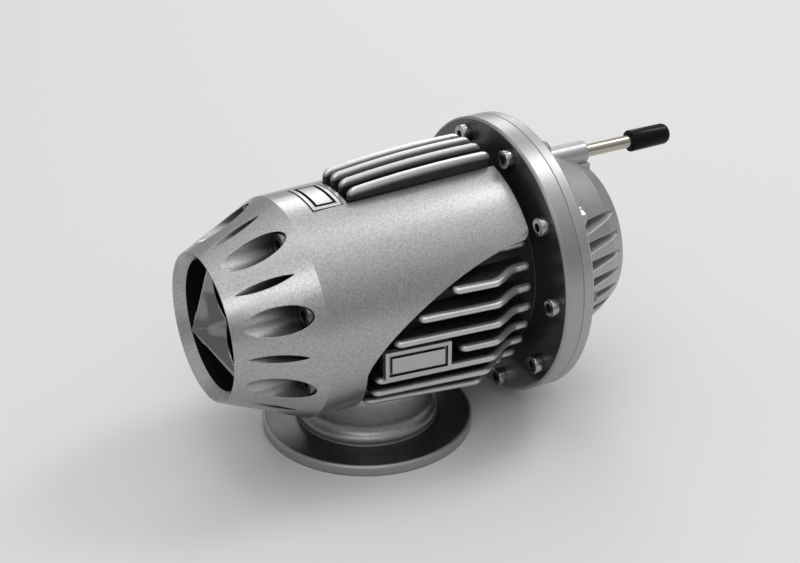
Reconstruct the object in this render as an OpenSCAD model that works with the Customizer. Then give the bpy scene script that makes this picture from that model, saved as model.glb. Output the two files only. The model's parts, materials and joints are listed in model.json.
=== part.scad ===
// Blow off valve with a two-stage disc, a diaphragm and a finned body.
// Millimetres. The origin is the centre of the inlet flange's sealing face, +Z is up.
// The main axis runs along X at height axis_z: the discharge nose is at -X, the diaphragm cover at +X.

/* [Inlet] */
// Height of the main axis above the inlet flange's sealing face
axis_z = 45.4; // [44:0.1:50]
// Diameter of the inlet flange
inlet_flange_d = 64; // [56:0.5:72]
// Thickness of the inlet flange at its rim
inlet_flange_t = 3.3; // [2.5:0.1:4.5]
// Radius on the inlet flange's upper edge
inlet_edge_r = 0.6; // [0.3:0.1:1]
// Diameter of the collar on top of the inlet flange
collar_d = 43; // [41:0.5:46]
// Height of the collar above the inlet flange
collar_h = 3.2; // [2:0.1:4]
// Outside diameter of the inlet neck
neck_d = 39; // [37:0.5:40]
// Radius of the hollow between the collar and the neck
neck_fillet_r = 3; // [2:0.1:4]
// Inlet bore
inlet_bore_d = 30; // [28:0.5:32]

/* [Cowl] */
// Distance from the inlet's axis forward to the face where cowl and body meet
body_front = 24; // [23:0.1:26]
// Distance from the inlet's axis forward to the crease between cone and skirt
crease_fwd = 27.85; // [26.5:0.05:29]
// Length of the nose cone
nose_len = 24; // [20:0.5:28]
// Diameter of the sharp lip
lip_d = 43.3; // [42:0.1:46]
// Diameter of the discharge bore
mouth_d = 38.3; // [37:0.1:40]
// Depth of the bell mouth behind the lip
mouth_depth = 3.1; // [2:0.1:4]
// Diameter at the crease
crease_d = 65; // [64:0.2:67]
// Diameter of the skirt's rear edge
skirt_d = 69; // [67.5:0.2:69.6]
// Thickness of the skirt's wall
skirt_wall = 2.5; // [1.8:0.1:3]
// Gap between the skirt's rear edge and the diaphragm flange
skirt_gap = 3.7; // [3:0.1:6]
// Thickness of the wall that the cowl screws clamp
web_t = 4.5; // [3.5:0.1:6]
// Bore behind the nose insert
throat_d = 34; // [32:0.2:35.5]
// Depth of the wide part of the bore, which seats the nose insert
insert_seat = 10.8; // [9:0.1:12]

/* [Nose pockets] */
// Number of screw pockets, and of thin slots between them
pocket_n = 8; // [6:1:8]
// Diameter of a screw pocket
pocket_d = 8; // [7.6:0.1:8.6]
// Diameter of the circle of pockets and cowl screws
pocket_circle_d = 54.2; // [53.8:0.1:54.8]
// Width of a thin slot
slot_w = 2.4; // [1.6:0.1:3]
// Radial height of a thin slot
slot_h = 7.1; // [6:0.1:8]
// Diameter of the circle of slot centres
slot_circle_d = 53.3; // [52:0.1:54.5]

/* [Cut-outs] */
// Height of the side cut-out's upper rear corner above the main axis
window_top = 18.4; // [16:0.2:20]
// Radius of the cowl's corner above the side cut-out
window_corner_r = 3; // [2:0.1:4]
// Distance from the inlet's axis forward to the front of the side cut-out
window_fwd = 16.4; // [15:0.1:18]
// Depth below the main axis at which the side cut-out's front edge turns straight
window_drop = 10; // [8:0.2:13]
// Length over which the side cut-out's upper edge stays nearly level
window_lead = 21; // [18:0.5:23]
// Fall of the side cut-out's upper edge over that length
window_fall = 1.9; // [1:0.1:3]
// Height over which the side cut-out's front edge curves into its straight foot
window_rise = 12.5; // [10:0.5:14]
// Lean of the side cut-out's front edge over that height
window_lean = 2.4; // [1:0.1:4]
// Width of the slot along the top
top_slot_w = 16.8; // [15.6:0.1:18]
// Distance from the inlet's axis forward to the front of the top plate's window
top_slot_fwd = 20.6; // [19:0.1:22]
// Width of the bridge between the top plate's window and the slot for the ribs
bridge_w = 1.2; // [0.8:0.1:2]

/* [Fins] */
// Thickness of a side fin
fin_t = 2; // [1.4:0.1:2.6]
// Spacing of the side fins
fin_pitch = 6.15; // [5.6:0.05:6.6]
// Height of the top side fin above the main axis
fin_top = 16.4; // [15.5:0.1:17]
// Number of side fins
fin_n = 8; // [6:1:8]
// Gap from the cut-out's edge to the fins' front ends
fin_gap = 3.6; // [2.5:0.1:5]
// Radius of the fins' envelope at the cut-out's front edge
fin_front_r = 32.6; // [31.5:0.1:34]
// Radius of the fins' envelope ahead of the step
fin_step_r = 36.8; // [35:0.1:38]
// Clearance from the fins behind the step to the flange screws' heads
fin_head_gap = 3.05; // [2.5:0.05:3.6]
// Position of the step along the main axis
fin_step_x = 22.3; // [20:0.1:24]
// Length of the step
fin_step_len = 7.5; // [6:0.1:9]
// Gap from the fins' rear ends to the diaphragm flange
fin_end_gap = 4.2; // [3.4:0.1:5]
// Radius of the fins' front ends
fin_tip_r = 2.2; // [1.6:0.1:3]
// Radius of the fins' rear ends
fin_end_r = 1.6; // [1.2:0.1:2]
// Radius at the bottom of the grooves
core_r = 27; // [26.6:0.1:28]

/* [Top ribs] */
// Number of top ribs
rib_n = 4; // [3:1:4]
// Thickness of a top rib
rib_t = 2.1; // [1.6:0.1:2.4]
// Angle between neighbouring top ribs
rib_angle = 8.2; // [7:0.1:8.6]
// Distance from the main axis to the highest point of the ribs' crests
rib_crest = 39.3; // [38:0.1:40]
// Position of that point along the main axis
rib_crest_x = 31; // [26:0.5:34]
// Radius of the ribs' arched crests
rib_arch_r = 310; // [250:5:500]
// Radius of the ribs' ends
rib_end_r = 2.6; // [2.4:0.1:3.4]
// Gap from the ribs' rear ends to the diaphragm flange
rib_end_gap = 4.9; // [3.6:0.1:6]

/* [Plates] */
// Length of the side plate
plate_len = 19.9; // [16:0.1:20.5]
// Height of the side plate
plate_h = 8.8; // [8:0.1:9.7]
// Thickness of the side plate
plate_t = 2.2; // [1.6:0.1:3]
// Distance from the inlet's axis forward to the side plate's front end
plate_fwd = 11.4; // [10.5:0.1:13]
// Length of the top plate along the main axis
top_plate_len = 8.9; // [8:0.1:9.4]
// Width of the raised frame on both plates
frame_w = 1.1; // [0.8:0.1:1.6]
// Width of the groove inside the frame
frame_groove_w = 0.9; // [0.6:0.1:1.3]
// Depth of the groove inside the frame
frame_groove_depth = 0.7; // [0.4:0.1:0.9]

/* [Diaphragm flange] */
// Diameter of the diaphragm flange
flange_d = 85.6; // [84.5:0.2:90]
// Distance from the inlet's axis back to the flange's front face
flange_x = 41.7; // [40:0.1:44]
// Thickness of the body's half of the flange
front_flange_t = 5.3; // [4.5:0.1:6]
// Thickness of the cover's half of the flange
rear_flange_t = 3.9; // [3.5:0.1:5]
// Bevel on the rims of the flange
flange_bevel = 0.8; // [0.4:0.1:1.2]
// Number of flange screws
flange_screw_n = 10; // [8:1:10]
// Distance from the flange's rim to the circle of flange screws
flange_edge = 4.8; // [4.4:0.1:5]
// Width of the lip on the body's flange that closes round the diaphragm
rim_lip_w = 1.2; // [0.8:0.1:1.4]

/* [Rear cover] */
// Width of the flange's ledge round the dome, which carries the nuts
nut_ledge_w = 9.8; // [9:0.1:12]
// Diameter of the dome where its slope turns steeper
dome_shoulder_d = 53; // [51:0.5:55]
// Diameter of the dome's end face
dome_end_d = 46.8; // [45:0.2:48.6]
// Length of the dome behind the flange
dome_len = 24.3; // [22:0.1:27]
// Length of the dome's steeper end
dome_end_len = 5.5; // [4:0.1:7]
// Radius at the bottom of the dome's grooves
dome_core_r = 24.6; // [24.4:0.1:25.2]
// Spacing of the dome's fins
dome_pitch = 5.6; // [5:0.1:6]
// Height of the first groove above the main axis
dome_groove_z = -1.2; // [-2:0.1:2]
// Number of grooves to each side of the first
dome_groove_n = 3; // [2:1:3]
// Width of a groove at the bottom
dome_groove_in = 1.2; // [0.8:0.1:1.6]
// Width of a groove at the dome's edge
dome_groove_out = 4.4; // [3.6:0.1:4.8]
// Wall of the rear cover
cover_wall = 2.6; // [2:0.1:3]

/* [Hose nipple] */
// Height of the nipple's axis above the main axis
nipple_z = 27.2; // [26.6:0.1:28]
// Diameter of the boss
boss_d = 7; // [6.4:0.1:8]
// Width of the ledge under the boss
boss_ledge_w = 8.6; // [8:0.1:9.6]
// Outside diameter of the nipple
nipple_d = 4; // [3.6:0.1:4.4]
// Inside diameter of the nipple
nipple_bore_d = 2.4; // [1.8:0.1:2.8]
// Length of the nipple that stands out of the boss
nipple_out = 22; // [18:0.5:26]
// Length of the nipple inside the boss
nipple_in = 12; // [8:0.5:14]
// Outside diameter of the rubber cap
cap_d = 6.8; // [6.2:0.1:7.6]
// Length of the rubber cap
cap_len = 14.6; // [12:0.2:18]
// Length of the nipple inside the rubber cap
cap_grip = 4.2; // [3:0.1:6]

/* [Valves] */
// Diameter of the chamber above the inlet
chamber_d = 43; // [42:0.1:44]
// Distance from the inlet's axis back to the end of the chamber
chamber_rear = 22; // [20:0.2:24]
// Thickness of the partition behind the chamber
partition_t = 8; // [7:0.1:10]
// Diameter of the large disc
secondary_d = 36; // [35:0.1:38]
// Thickness of the large disc
secondary_t = 3; // [2.6:0.1:3.4]
// Diameter of the port in the large disc
port_d = 14; // [12:0.1:15]
// Opening of the seat ring
seat_bore_d = 31; // [30:0.1:31.6]
// Diameter of the small disc
primary_d = 18; // [17:0.1:18.4]
// Thickness of the small disc
primary_t = 2.5; // [2:0.1:3]
// Travel of the stem on the large disc
primary_travel = 2; // [1.5:0.1:2.5]
// Diameter of the stem
stem_d = 8; // [7:0.1:9]
// Diameter of the stem's front pilot
pilot_d = 4; // [3.6:0.1:4.4]
// Diameter of the stem's rear thread
tail_d = 5; // [4.6:0.1:5.4]
// Outside diameter of the guide bush
bush_d = 12; // [11.4:0.1:13]

/* [Diaphragm] */
// Thickness of the rubber sheet
diaphragm_t = 0.8; // [0.6:0.1:1.2]
// Diameter of the diaphragm plates
plate_d = 37; // [34:0.2:38]
// Thickness of the diaphragm plates
disc_plate_t = 1.6; // [1.2:0.1:2]
// Width of the flange's ring that clamps the diaphragm
clamp_w = 11.8; // [10.5:0.1:13]
// Depth of the front flange's recess for the diaphragm
recess_depth = 2.5; // [2:0.1:3]

/* [Springs] */
// Wire of the large disc's spring
light_wire_d = 1.6; // [1.2:0.1:1.8]
// Mean diameter of the large disc's spring
light_coil_d = 24; // [23.2:0.1:25]
// Turns of the large disc's spring
light_turns = 6; // [5:0.5:8]
// Wire of the diaphragm's spring
main_wire_d = 2.2; // [1.8:0.1:2.4]
// Mean diameter of the diaphragm's spring
main_coil_d = 25; // [23:0.1:27]
// Turns of the diaphragm's spring
main_turns = 5; // [4:0.5:6]

/* [Fits] */
// Radial clearance of a running fit
run_gap = 0.05; // [0.02:0.01:0.1]
// Radial clearance of a fixed fit
fit_gap = 0.05; // [0.02:0.01:0.1]
// Clearance between a sealing face and its seat
seal_gap = 0.1; // [0.05:0.05:0.3]
// Clearance round the plates' pads and the neck
trim_gap = 0.5; // [0.3:0.1:0.8]
// Clearance round the top plate and ahead of the ribs
plate_gap = 0.3; // [0.2:0.05:0.4]
// Gap between the two halves of the flange at the rim
joint_gap = 0.15; // [0.1:0.05:0.3]

/* [Hidden] */
$fn = 64;

silver = [0.66, 0.67, 0.68];
charcoal = [0.2, 0.21, 0.22];
steel = [0.78, 0.76, 0.72];
chrome = [0.85, 0.85, 0.86];
bronze = [0.66, 0.5, 0.3];
rubber = [0.06, 0.06, 0.06];

// A cutter reaches this far past the face that it opens
over = 1;

// A blade's web is this much thinner on each side than its round edge, and reaches this far into it
web_step = 0.05;
web_lap = 0.06;

// Stations along the main axis
front_x = -body_front;
web_x = front_x - web_t;
crease_x = -crease_fwd;
lip_x = crease_x - nose_len;
mouth_x = lip_x + mouth_depth;
insert_x = mouth_x + insert_seat;
skirt_x = flange_x - skirt_gap;
sheet_x = flange_x + front_flange_t;
cover_x = sheet_x + diaphragm_t;
dome_x = cover_x + rear_flange_t;
dome_end_x = dome_x + dome_len;

// The cowl's land on the body
land_len = 7.5;
land_r = crease_d / 2 - skirt_wall + 0.4;

// Standard fasteners: M4 in the nose, M3 in the flange
m4_r = 2;
m4_head_r = 3.5;
m4_head_h = 4;
m4_key = 3;
m4_len = 10;
m3_r = 1.5;
m3_head_r = 2.75;
m3_head_h = 3;
m3_key = 2.5;
m3_nut_w = 5.5;
m3_nut_h = 2.4;
screw_end = 0.5;
key_depth = 0.5;

// Valve seat
seat_flange_r = seat_bore_d / 2 + 4.9;
seat_nose_r = seat_bore_d / 2 + 3;
seat_flange_t = 3.5;
seat_ledge_t = 1.5;
seat_proud = 0.2;
seat_face_x = front_x + seat_flange_t + seat_ledge_t + seat_proud;

// Large disc, small disc and stem at rest
seal_proud = 0.3;
seal_w = 1.5;
seal_depth = 1.2;
seal_r = seat_bore_d / 2 + 1.4;
secondary_x = seat_face_x + seal_gap + seal_proud;
secondary_rear_x = secondary_x + secondary_t;
spoke_t = 2;
spoke_w = 2.4;
spoke_n = 3;
hub_r = pilot_d / 2 + 1.3;
lip_rib_t = 0.8;
lip_rib_h = 1.5;
lip_rib_r = primary_d / 2 + 0.5;
primary_seal_r = port_d / 2 + 1;
primary_seal_w = 1;
primary_seal_depth = 0.9;
primary_x = secondary_rear_x + seal_gap + seal_proud;
shoulder_x = primary_x + primary_t;
pick_up_gap = primary_travel + 0.4;
stop_nut_w = 7;
stop_nut_t = 2.2;
stop_nut_x = secondary_x - pick_up_gap - stop_nut_t;
pilot_x = stop_nut_x - screw_end;

// Partition, bush and diaphragm stack
partition_x = chamber_rear + partition_t;
bush_flange_r = bush_d / 2 + 1.5;
bush_flange_t = 1.5;
rear_chamber_r = chamber_d / 2;
front_plate_x = sheet_x - seal_gap - disc_plate_t;
rear_plate_x = cover_x + seal_gap;
plate_nut_w = 8;
plate_nut_t = 4;
plate_nut_x = rear_plate_x + disc_plate_t;
tail_x = plate_nut_x + plate_nut_t + screw_end;
cup_t = 1;
cup_h = 3;
cavity_r = dome_core_r - cover_wall;
cavity_end_x = dome_end_x - cover_wall;
port_n = 4;
port_r = 1.5;
port_circle_r = 15;

// Nose insert
tip_fwd = 2.9;
tip_x = lip_x - tip_fwd;
blade_n = 3;
blade_edge_r = mouth_d / 2 + 1.4;
blade_edge_back = 6.7;
nub_r = 7;
nub_back = 3.8;
insert_ring_t = 1.8;
insert_ring_len = 4;

// Sizes that follow the diaphragm flange
flange_circle_d = flange_d - 2 * flange_edge;
dome_d = flange_d - 2 * nut_ledge_w;
free_d = flange_d - 2 * clamp_w;
fin_rear_r = flange_circle_d / 2 - m3_head_r - fin_head_gap;
fin_end_x = flange_x - fin_end_gap;
rib_end_x = flange_x - rib_end_gap;
fold_w = (free_d - plate_d) / 2 - 2;
fold_mid_r = (free_d + plate_d) / 4;
fold_depth = recess_depth - 0.5;
fold_r = (fold_w * fold_w / 4 + fold_depth * fold_depth) / (2 * fold_depth);

// Side cut-out: an S-shaped edge from the rear corner to the straight front edge
window_foot_x = -13.5;
window_foot_z = -34;
window_rear_x = skirt_x - window_corner_r;
edge_ctrl = [
    [window_rear_x, window_top],
    [window_rear_x - window_lead, window_top - window_fall],
    [window_lean - window_fwd, window_rise - window_drop],
    [-window_fwd, -window_drop]
];
edge_steps = 20;
function bezier(c, t) =
    pow(1 - t, 3) * c[0] + 3 * t * pow(1 - t, 2) * c[1] + 3 * t * t * (1 - t) * c[2] + pow(t, 3) * c[3];
edge = [for (i = [0 : edge_steps]) bezier(edge_ctrl, i / edge_steps)];
corner = [for (a = [0 : -15 : -75]) [
    window_rear_x + window_corner_r * cos(a),
    window_top + window_corner_r + window_corner_r * sin(a)
]];
edge_table = concat([for (p = edge) [p[1], p[0]]], [[window_foot_z, window_foot_x]]);
function edge_x(z) = lookup(z, edge_table);

// Radius of the fins' envelope ahead of the step
function envelope(x) = fin_front_r + (fin_step_r - fin_front_r) * (x + window_fwd) / (fin_step_x + window_fwd);

// Distance sideways from the main axis to a circle of radius r, at a height z above the axis
function half_chord(r, z) = sqrt(max(0, r * r - z * z));
function fin_z(i) = fin_top - i * fin_pitch;

// The side plate lies between two fins and follows the envelope from its front end to its rear end
plate_fin = 4;
plate_z = fin_z(plate_fin);
plate_y = envelope(-plate_fwd) - 0.6;
plate_y_rear = envelope(plate_len - plate_fwd) - 0.2;
plate_turn = asin((plate_y_rear - plate_y) / plate_len);

// Top plate and its pad, and the ribs' slot behind the bridge
top_plate_r = crease_d / 2 + 0.5;
top_plate_t = 1.6;
top_plate_w = top_slot_w - 2 * plate_gap;
top_plate_x = -top_slot_fwd + plate_gap;
top_window_len = top_plate_len + 2 * plate_gap;
rib_slot_x = -top_slot_fwd + top_window_len + bridge_w;
rib_x = rib_slot_x + plate_gap;

// Places children on the main axis: local Z runs back along +X, local X is up and local Y is the near side
module axial(x = 0) {
    translate([x, 0, axis_z])
        rotate([0, 90, 0])
            rotate([0, 0, 180])
                children();
}

// Turns a profile of [radius, station] points about the main axis
module turned(profile) {
    axial()
        rotate_extrude()
            polygon(profile);
}

// A cylinder on the main axis between two stations
module barrel(r, x0, x1) {
    axial(x0)
        cylinder(r = r, h = x1 - x0);
}

// A ring on the main axis between two stations
module ring(r_out, r_in, x0, x1) {
    difference() {
        barrel(r_out, x0, x1);
        barrel(r_in, x0 - over, x1 + over);
    }
}

// Repeats children at a radius about the main axis, starting at an angle from straight up
module around(n, r, first) {
    for (i = [0 : n - 1])
        rotate([0, 0, first + i * 360 / n])
            translate([r, 0, 0])
                children();
}

// Socket head screw that points along +Z, with its head below Z = 0
module socket_screw(r, len, head_r, head_h, key) {
    cylinder(r = r, h = len);
    difference() {
        translate([0, 0, -head_h])
            cylinder(r = head_r, h = head_h);
        translate([0, 0, -head_h - over])
            cylinder(d = key / cos(30), h = head_h * key_depth + over, $fn = 6);
    }
}

// Hexagon nut on the Z axis
module hex_nut(width, height, bore_r) {
    difference() {
        cylinder(d = width / cos(30), h = height, $fn = 6);
        translate([0, 0, -over])
            cylinder(r = bore_r, h = height + 2 * over);
    }
}

// Coil spring on the main axis between two stations
module coil(mean_d, wire_d, turns, x0, x1) {
    sides = 8;
    steps = ceil(turns * 18);
    wire_r = wire_d / 2;
    run = x1 - x0 - wire_d;
    points = [for (i = [0 : steps], j = [0 : sides - 1])
        let (turn = 360 * turns * i / steps, a = 360 * j / sides, r = mean_d / 2 + wire_r * cos(a))
            [r * cos(turn), r * sin(turn), wire_r + run * i / steps + wire_r * sin(a)]];
    skin = [for (i = [0 : steps - 1], j = [0 : sides - 1])
        [i * sides + j, i * sides + (j + 1) % sides, (i + 1) * sides + (j + 1) % sides, (i + 1) * sides + j]];
    start = [for (j = [sides - 1 : -1 : 0]) j];
    end = [for (j = [0 : sides - 1]) steps * sides + j];
    axial(x0)
        polyhedron(points, concat(skin, [start, end]));
}

// Outline of a framed plate's groove
module frame_groove(length, width) {
    difference() {
        square([length - 2 * frame_w, width - 2 * frame_w], center = true);
        square([length - 2 * frame_w - 2 * frame_groove_w, width - 2 * frame_w - 2 * frame_groove_w], center = true);
    }
}

// Lens-shaped section of a thin slot, with its points along X
module lens(height, width) {
    r = (height * height + width * width) / (4 * width);
    intersection() {
        translate([0, r - width / 2])
            circle(r);
        translate([0, width / 2 - r])
            circle(r);
    }
}

// Side cut-out on both sides of the cowl
module side_window() {
    reach = skirt_d;
    outline = concat(
        corner, edge,
        [[window_foot_x, window_foot_z], [window_foot_x, -reach], [flange_x, -reach]],
        [[flange_x, window_top + window_corner_r]]
    );
    translate([0, 0, axis_z])
        rotate([90, 0, 0])
            linear_extrude(2 * reach, center = true)
                polygon(outline);
}

module cowl_shell() {
    turned([
        [lip_d / 2, lip_x],
        [crease_d / 2, crease_x],
        [skirt_d / 2, skirt_x],
        [skirt_d / 2 - skirt_wall, skirt_x],
        [land_r, front_x + land_len],
        [land_r, front_x],
        [throat_d / 2, front_x],
        [throat_d / 2, insert_x],
        [mouth_d / 2, insert_x],
        [mouth_d / 2, mouth_x]
    ]);
}

module cowl() {
    pocket_len = web_x - lip_x + over;
    color(silver)
        difference() {
            cowl_shell();
            axial(lip_x - over) {
                around(pocket_n, pocket_circle_d / 2, 180 / pocket_n)
                    cylinder(d = pocket_d, h = pocket_len);
                around(pocket_n, pocket_circle_d / 2, 180 / pocket_n)
                    cylinder(r = m4_r + fit_gap, h = front_x - lip_x + 2 * over);
                around(pocket_n, slot_circle_d / 2, 0)
                    linear_extrude(pocket_len)
                        lens(slot_h, slot_w);
            }
            side_window();
            translate([-top_slot_fwd, -top_slot_w / 2, axis_z])
                cube([top_window_len, top_slot_w, skirt_d]);
            translate([rib_slot_x, -top_slot_w / 2, axis_z])
                cube([flange_x - rib_slot_x, top_slot_w, skirt_d]);
            cylinder(d = neck_d + 2 * trim_gap, h = axis_z - core_r / 2);
        }
}

// Pointed star: long blade edges from the tip to the bore, short ridges between them
module insert_star() {
    n = 2 * blade_n;
    rear_x = insert_x - tip_x;
    front = [for (i = [0 : n - 1])
        let (r = i % 2 == 0 ? blade_edge_r : nub_r, x = i % 2 == 0 ? blade_edge_back : nub_back)
            [r * cos(i * 360 / n), r * sin(i * 360 / n), x]];
    rear = [for (p = front) [p[0], p[1], rear_x]];
    points = concat([[0, 0, 0]], front, rear);
    faces = concat(
        [for (i = [0 : n - 1]) [0, 1 + i, 1 + (i + 1) % n]],
        [for (i = [0 : n - 1]) [1 + i, 1 + n + i, 1 + n + (i + 1) % n, 1 + (i + 1) % n]],
        [[for (i = [n - 1 : -1 : 0]) 1 + n + i]]
    );
    axial(tip_x)
        polyhedron(points, faces);
}

module nose_fin() {
    ring_r = mouth_d / 2 - fit_gap;
    color(chrome) {
        intersection() {
            insert_star();
            barrel(ring_r, tip_x - over, insert_x);
        }
        ring(ring_r, ring_r - insert_ring_t, insert_x - insert_ring_len, insert_x);
    }
}

module cowl_screws() {
    color(steel)
        axial(web_x)
            around(pocket_n, pocket_circle_d / 2, 180 / pocket_n)
                socket_screw(m4_r, m4_len, m4_head_r, m4_head_h, m4_key);
}

// Point on a circle in the plane of a blade
function on_arc(c, r, a) = c + r * [cos(a), sin(a)];

// Stations of a blade's crest along an arc: points with the angle that faces out; a hollow arc faces its centre
function arc_path(c, r, a0, a1, n, hollow = false) = [
    for (i = [hollow ? 1 : 0 : n])
        let (a = a0 + (a1 - a0) * i / n)
            [on_arc(c, r, a), hollow ? a + 180 : a]
];

// Half-round edge of a blade along a path of stations in the plane Z = 0
module round_edge(path, r) {
    sides = 6;
    row = sides + 1;
    last = len(path) - 1;
    points = [for (s = path, j = [0 : sides])
        let (a = 90 - 180 * j / sides, p = on_arc(s[0], r * (cos(a) - 1), s[1]))
            [p[0], p[1], r * sin(a)]];
    skin = [for (i = [0 : last - 1], j = [0 : sides - 1])
        [i * row + j, i * row + j + 1, (i + 1) * row + j + 1, (i + 1) * row + j]];
    back = [for (i = [0 : last - 1]) [i * row, (i + 1) * row, (i + 1) * row + sides, i * row + sides]];
    start = [for (j = [sides : -1 : 0]) j];
    end = [for (j = [0 : sides]) last * row + j];
    polyhedron(points, concat(skin, back, [start, end]));
}

// Blade in the plane Z = 0: a flat web with a half-round edge, between two feet on one line
module blade(path, t) {
    r = t / 2;
    round_edge(path, r);
    linear_extrude(t - 2 * web_step, center = true)
        polygon([for (s = path) on_arc(s[0], web_lap - r, s[1])]);
}

// One side fin at a height above the main axis, on the far side; start is its front end.
// Its crest runs from a round tip along the taper, down an S-shaped step of two equal arcs and on to the rear end.
module side_fin(z, start) {
    tip_x = start + fin_tip_r;
    stepped = tip_x < fin_step_x - fin_tip_r;
    root = max(0, half_chord(core_r, abs(z) + fin_t / 2) - 2 * over);
    rear_y = half_chord(fin_rear_r, z);
    step_y = stepped ? half_chord(fin_step_r, z) : rear_y;
    tip_y = stepped ? half_chord(envelope(tip_x), z) : rear_y;
    rise = stepped ? atan2(step_y - tip_y, fin_step_x - tip_x) : 0;
    drop = step_y - rear_y;
    level = ((1 + cos(rise)) * fin_step_len - drop * sin(rise)) / (2 * norm([fin_step_len, drop]));
    turn = atan2(drop, fin_step_len) + acos(min(1, level));
    arc_r = fin_step_len / (sin(rise) + 2 * sin(turn));
    tip_c = [tip_x, tip_y - fin_tip_r / cos(rise)];
    over_c = [fin_step_x, step_y] - arc_r * [-sin(rise), cos(rise)];
    under_c = [fin_step_x + fin_step_len, rear_y + arc_r];
    end_c = [fin_end_x - fin_end_r, rear_y - fin_end_r];
    step = stepped ? concat(
        arc_path(over_c, arc_r, 90 + rise, 90 - turn, 4),
        arc_path(under_c, arc_r, 270 - turn, 270, 4, true)
    ) : [];
    translate([0, 0, axis_z + z])
        blade(concat(
            [[[start, root], 180]], arc_path(tip_c, fin_tip_r, 180, 90 + rise, 4),
            step, arc_path(end_c, fin_end_r, 90, 0, 3), [[[fin_end_x, root], 0]]
        ), fin_t);
}

module side_fins() {
    plate_rear = plate_len - plate_fwd;
    for (i = [0 : fin_n - 1]) {
        start = edge_x(fin_z(i)) + fin_gap;
        side_fin(fin_z(i), start);
        mirror([0, 1, 0])
            side_fin(fin_z(i), i == plate_fin ? plate_rear + fin_gap : start);
    }
}

// Places children on the side plate's outer face: local X runs back along it, local Y points inward
module on_side_plate() {
    translate([-plate_fwd, -plate_y, axis_z + plate_z])
        rotate([0, 0, -plate_turn])
            children();
}

module side_pad() {
    on_side_plate()
        translate([trim_gap, plate_t, trim_gap - plate_h / 2])
            cube([plate_len - 2 * trim_gap, plate_y - plate_t - core_r / 2, plate_h - 2 * trim_gap]);
}

module top_pad() {
    pad_x = top_plate_x + trim_gap;
    pad_len = top_plate_len - 2 * trim_gap;
    intersection() {
        barrel(top_plate_r - top_plate_t, pad_x, pad_x + pad_len);
        translate([pad_x, -top_plate_w / 2 + trim_gap, axis_z])
            cube([pad_len, top_plate_w - 2 * trim_gap, skirt_d]);
    }
}

// Arched rib with round ends, in the plane Z = 0 with the main axis along X
module top_rib() {
    root = core_r - 2 * over;
    front_x = rib_x + rib_end_r;
    rear_x = rib_end_x - rib_end_r;
    arch_c = [rib_crest_x, rib_crest - rib_arch_r];
    front_c = [front_x, arch_c[1] + half_chord(rib_arch_r - rib_end_r, rib_crest_x - front_x)];
    rear_c = [rear_x, arch_c[1] + half_chord(rib_arch_r - rib_end_r, rear_x - rib_crest_x)];
    front_a = atan2(front_c[1] - arch_c[1], front_x - rib_crest_x);
    rear_a = atan2(rear_c[1] - arch_c[1], rear_x - rib_crest_x);
    arch = arc_path(arch_c, rib_arch_r, front_a, rear_a, 6);
    blade(concat(
        [[[rib_x, root], 180]], arc_path(front_c, rib_end_r, 180, front_a, 4),
        [for (i = [1 : 5]) arch[i]],
        arc_path(rear_c, rib_end_r, rear_a, 0, 4), [[[rib_end_x, root], 0]]
    ), rib_t);
}

module top_ribs() {
    for (i = [0 : rib_n - 1])
        translate([0, 0, axis_z])
            rotate([90 + (i - (rib_n - 1) / 2) * rib_angle, 0, 0])
                top_rib();
}

// Section of the inlet flange, its collar and the neck, joined by a hollow
module neck_section() {
    neck_r = neck_d / 2;
    bead_r = collar_h / 2;
    edge_c = [inlet_flange_d / 2 - inlet_edge_r, inlet_flange_t - inlet_edge_r];
    bead_c = [collar_d / 2 - bead_r, inlet_flange_t + collar_h - bead_r];
    reach = neck_r + neck_fillet_r - bead_c[0];
    hollow_c = bead_c + [reach, half_chord(neck_fillet_r + bead_r, reach)];
    touch = bead_c + (hollow_c - bead_c) * bead_r / (neck_fillet_r + bead_r);
    square([inlet_flange_d / 2, inlet_flange_t - inlet_edge_r]);
    square([edge_c[0], inlet_flange_t]);
    translate(edge_c)
        circle(inlet_edge_r, $fn = 32);
    square([neck_r, axis_z - core_r / 2]);
    square([bead_c[0], bead_c[1]]);
    square([collar_d / 2, bead_c[1]]);
    translate(bead_c)
        circle(bead_r, $fn = 32);
    difference() {
        polygon([[0, 0], bead_c, touch, hollow_c, [0, hollow_c[1]]]);
        translate(hollow_c)
            circle(neck_fillet_r);
    }
}

module inlet_neck() {
    rotate_extrude()
        neck_section();
}

// Chamber, seat recess, bush bore and the body's half of the diaphragm space
module body_cavity() {
    ledge_x = front_x + seat_flange_t;
    turned([
        [0, front_x - over],
        [seat_flange_r + fit_gap, front_x - over],
        [seat_flange_r + fit_gap, ledge_x],
        [seat_nose_r + fit_gap, ledge_x],
        [seat_nose_r + fit_gap, ledge_x + seat_ledge_t],
        [chamber_d / 2, ledge_x + seat_ledge_t],
        [chamber_d / 2, chamber_rear],
        [bush_d / 2 + fit_gap, chamber_rear],
        [bush_d / 2 + fit_gap, partition_x],
        [rear_chamber_r, partition_x],
        [rear_chamber_r, sheet_x - recess_depth],
        [free_d / 2, sheet_x - recess_depth],
        [free_d / 2, sheet_x + over],
        [0, sheet_x + over]
    ]);
}

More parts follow.
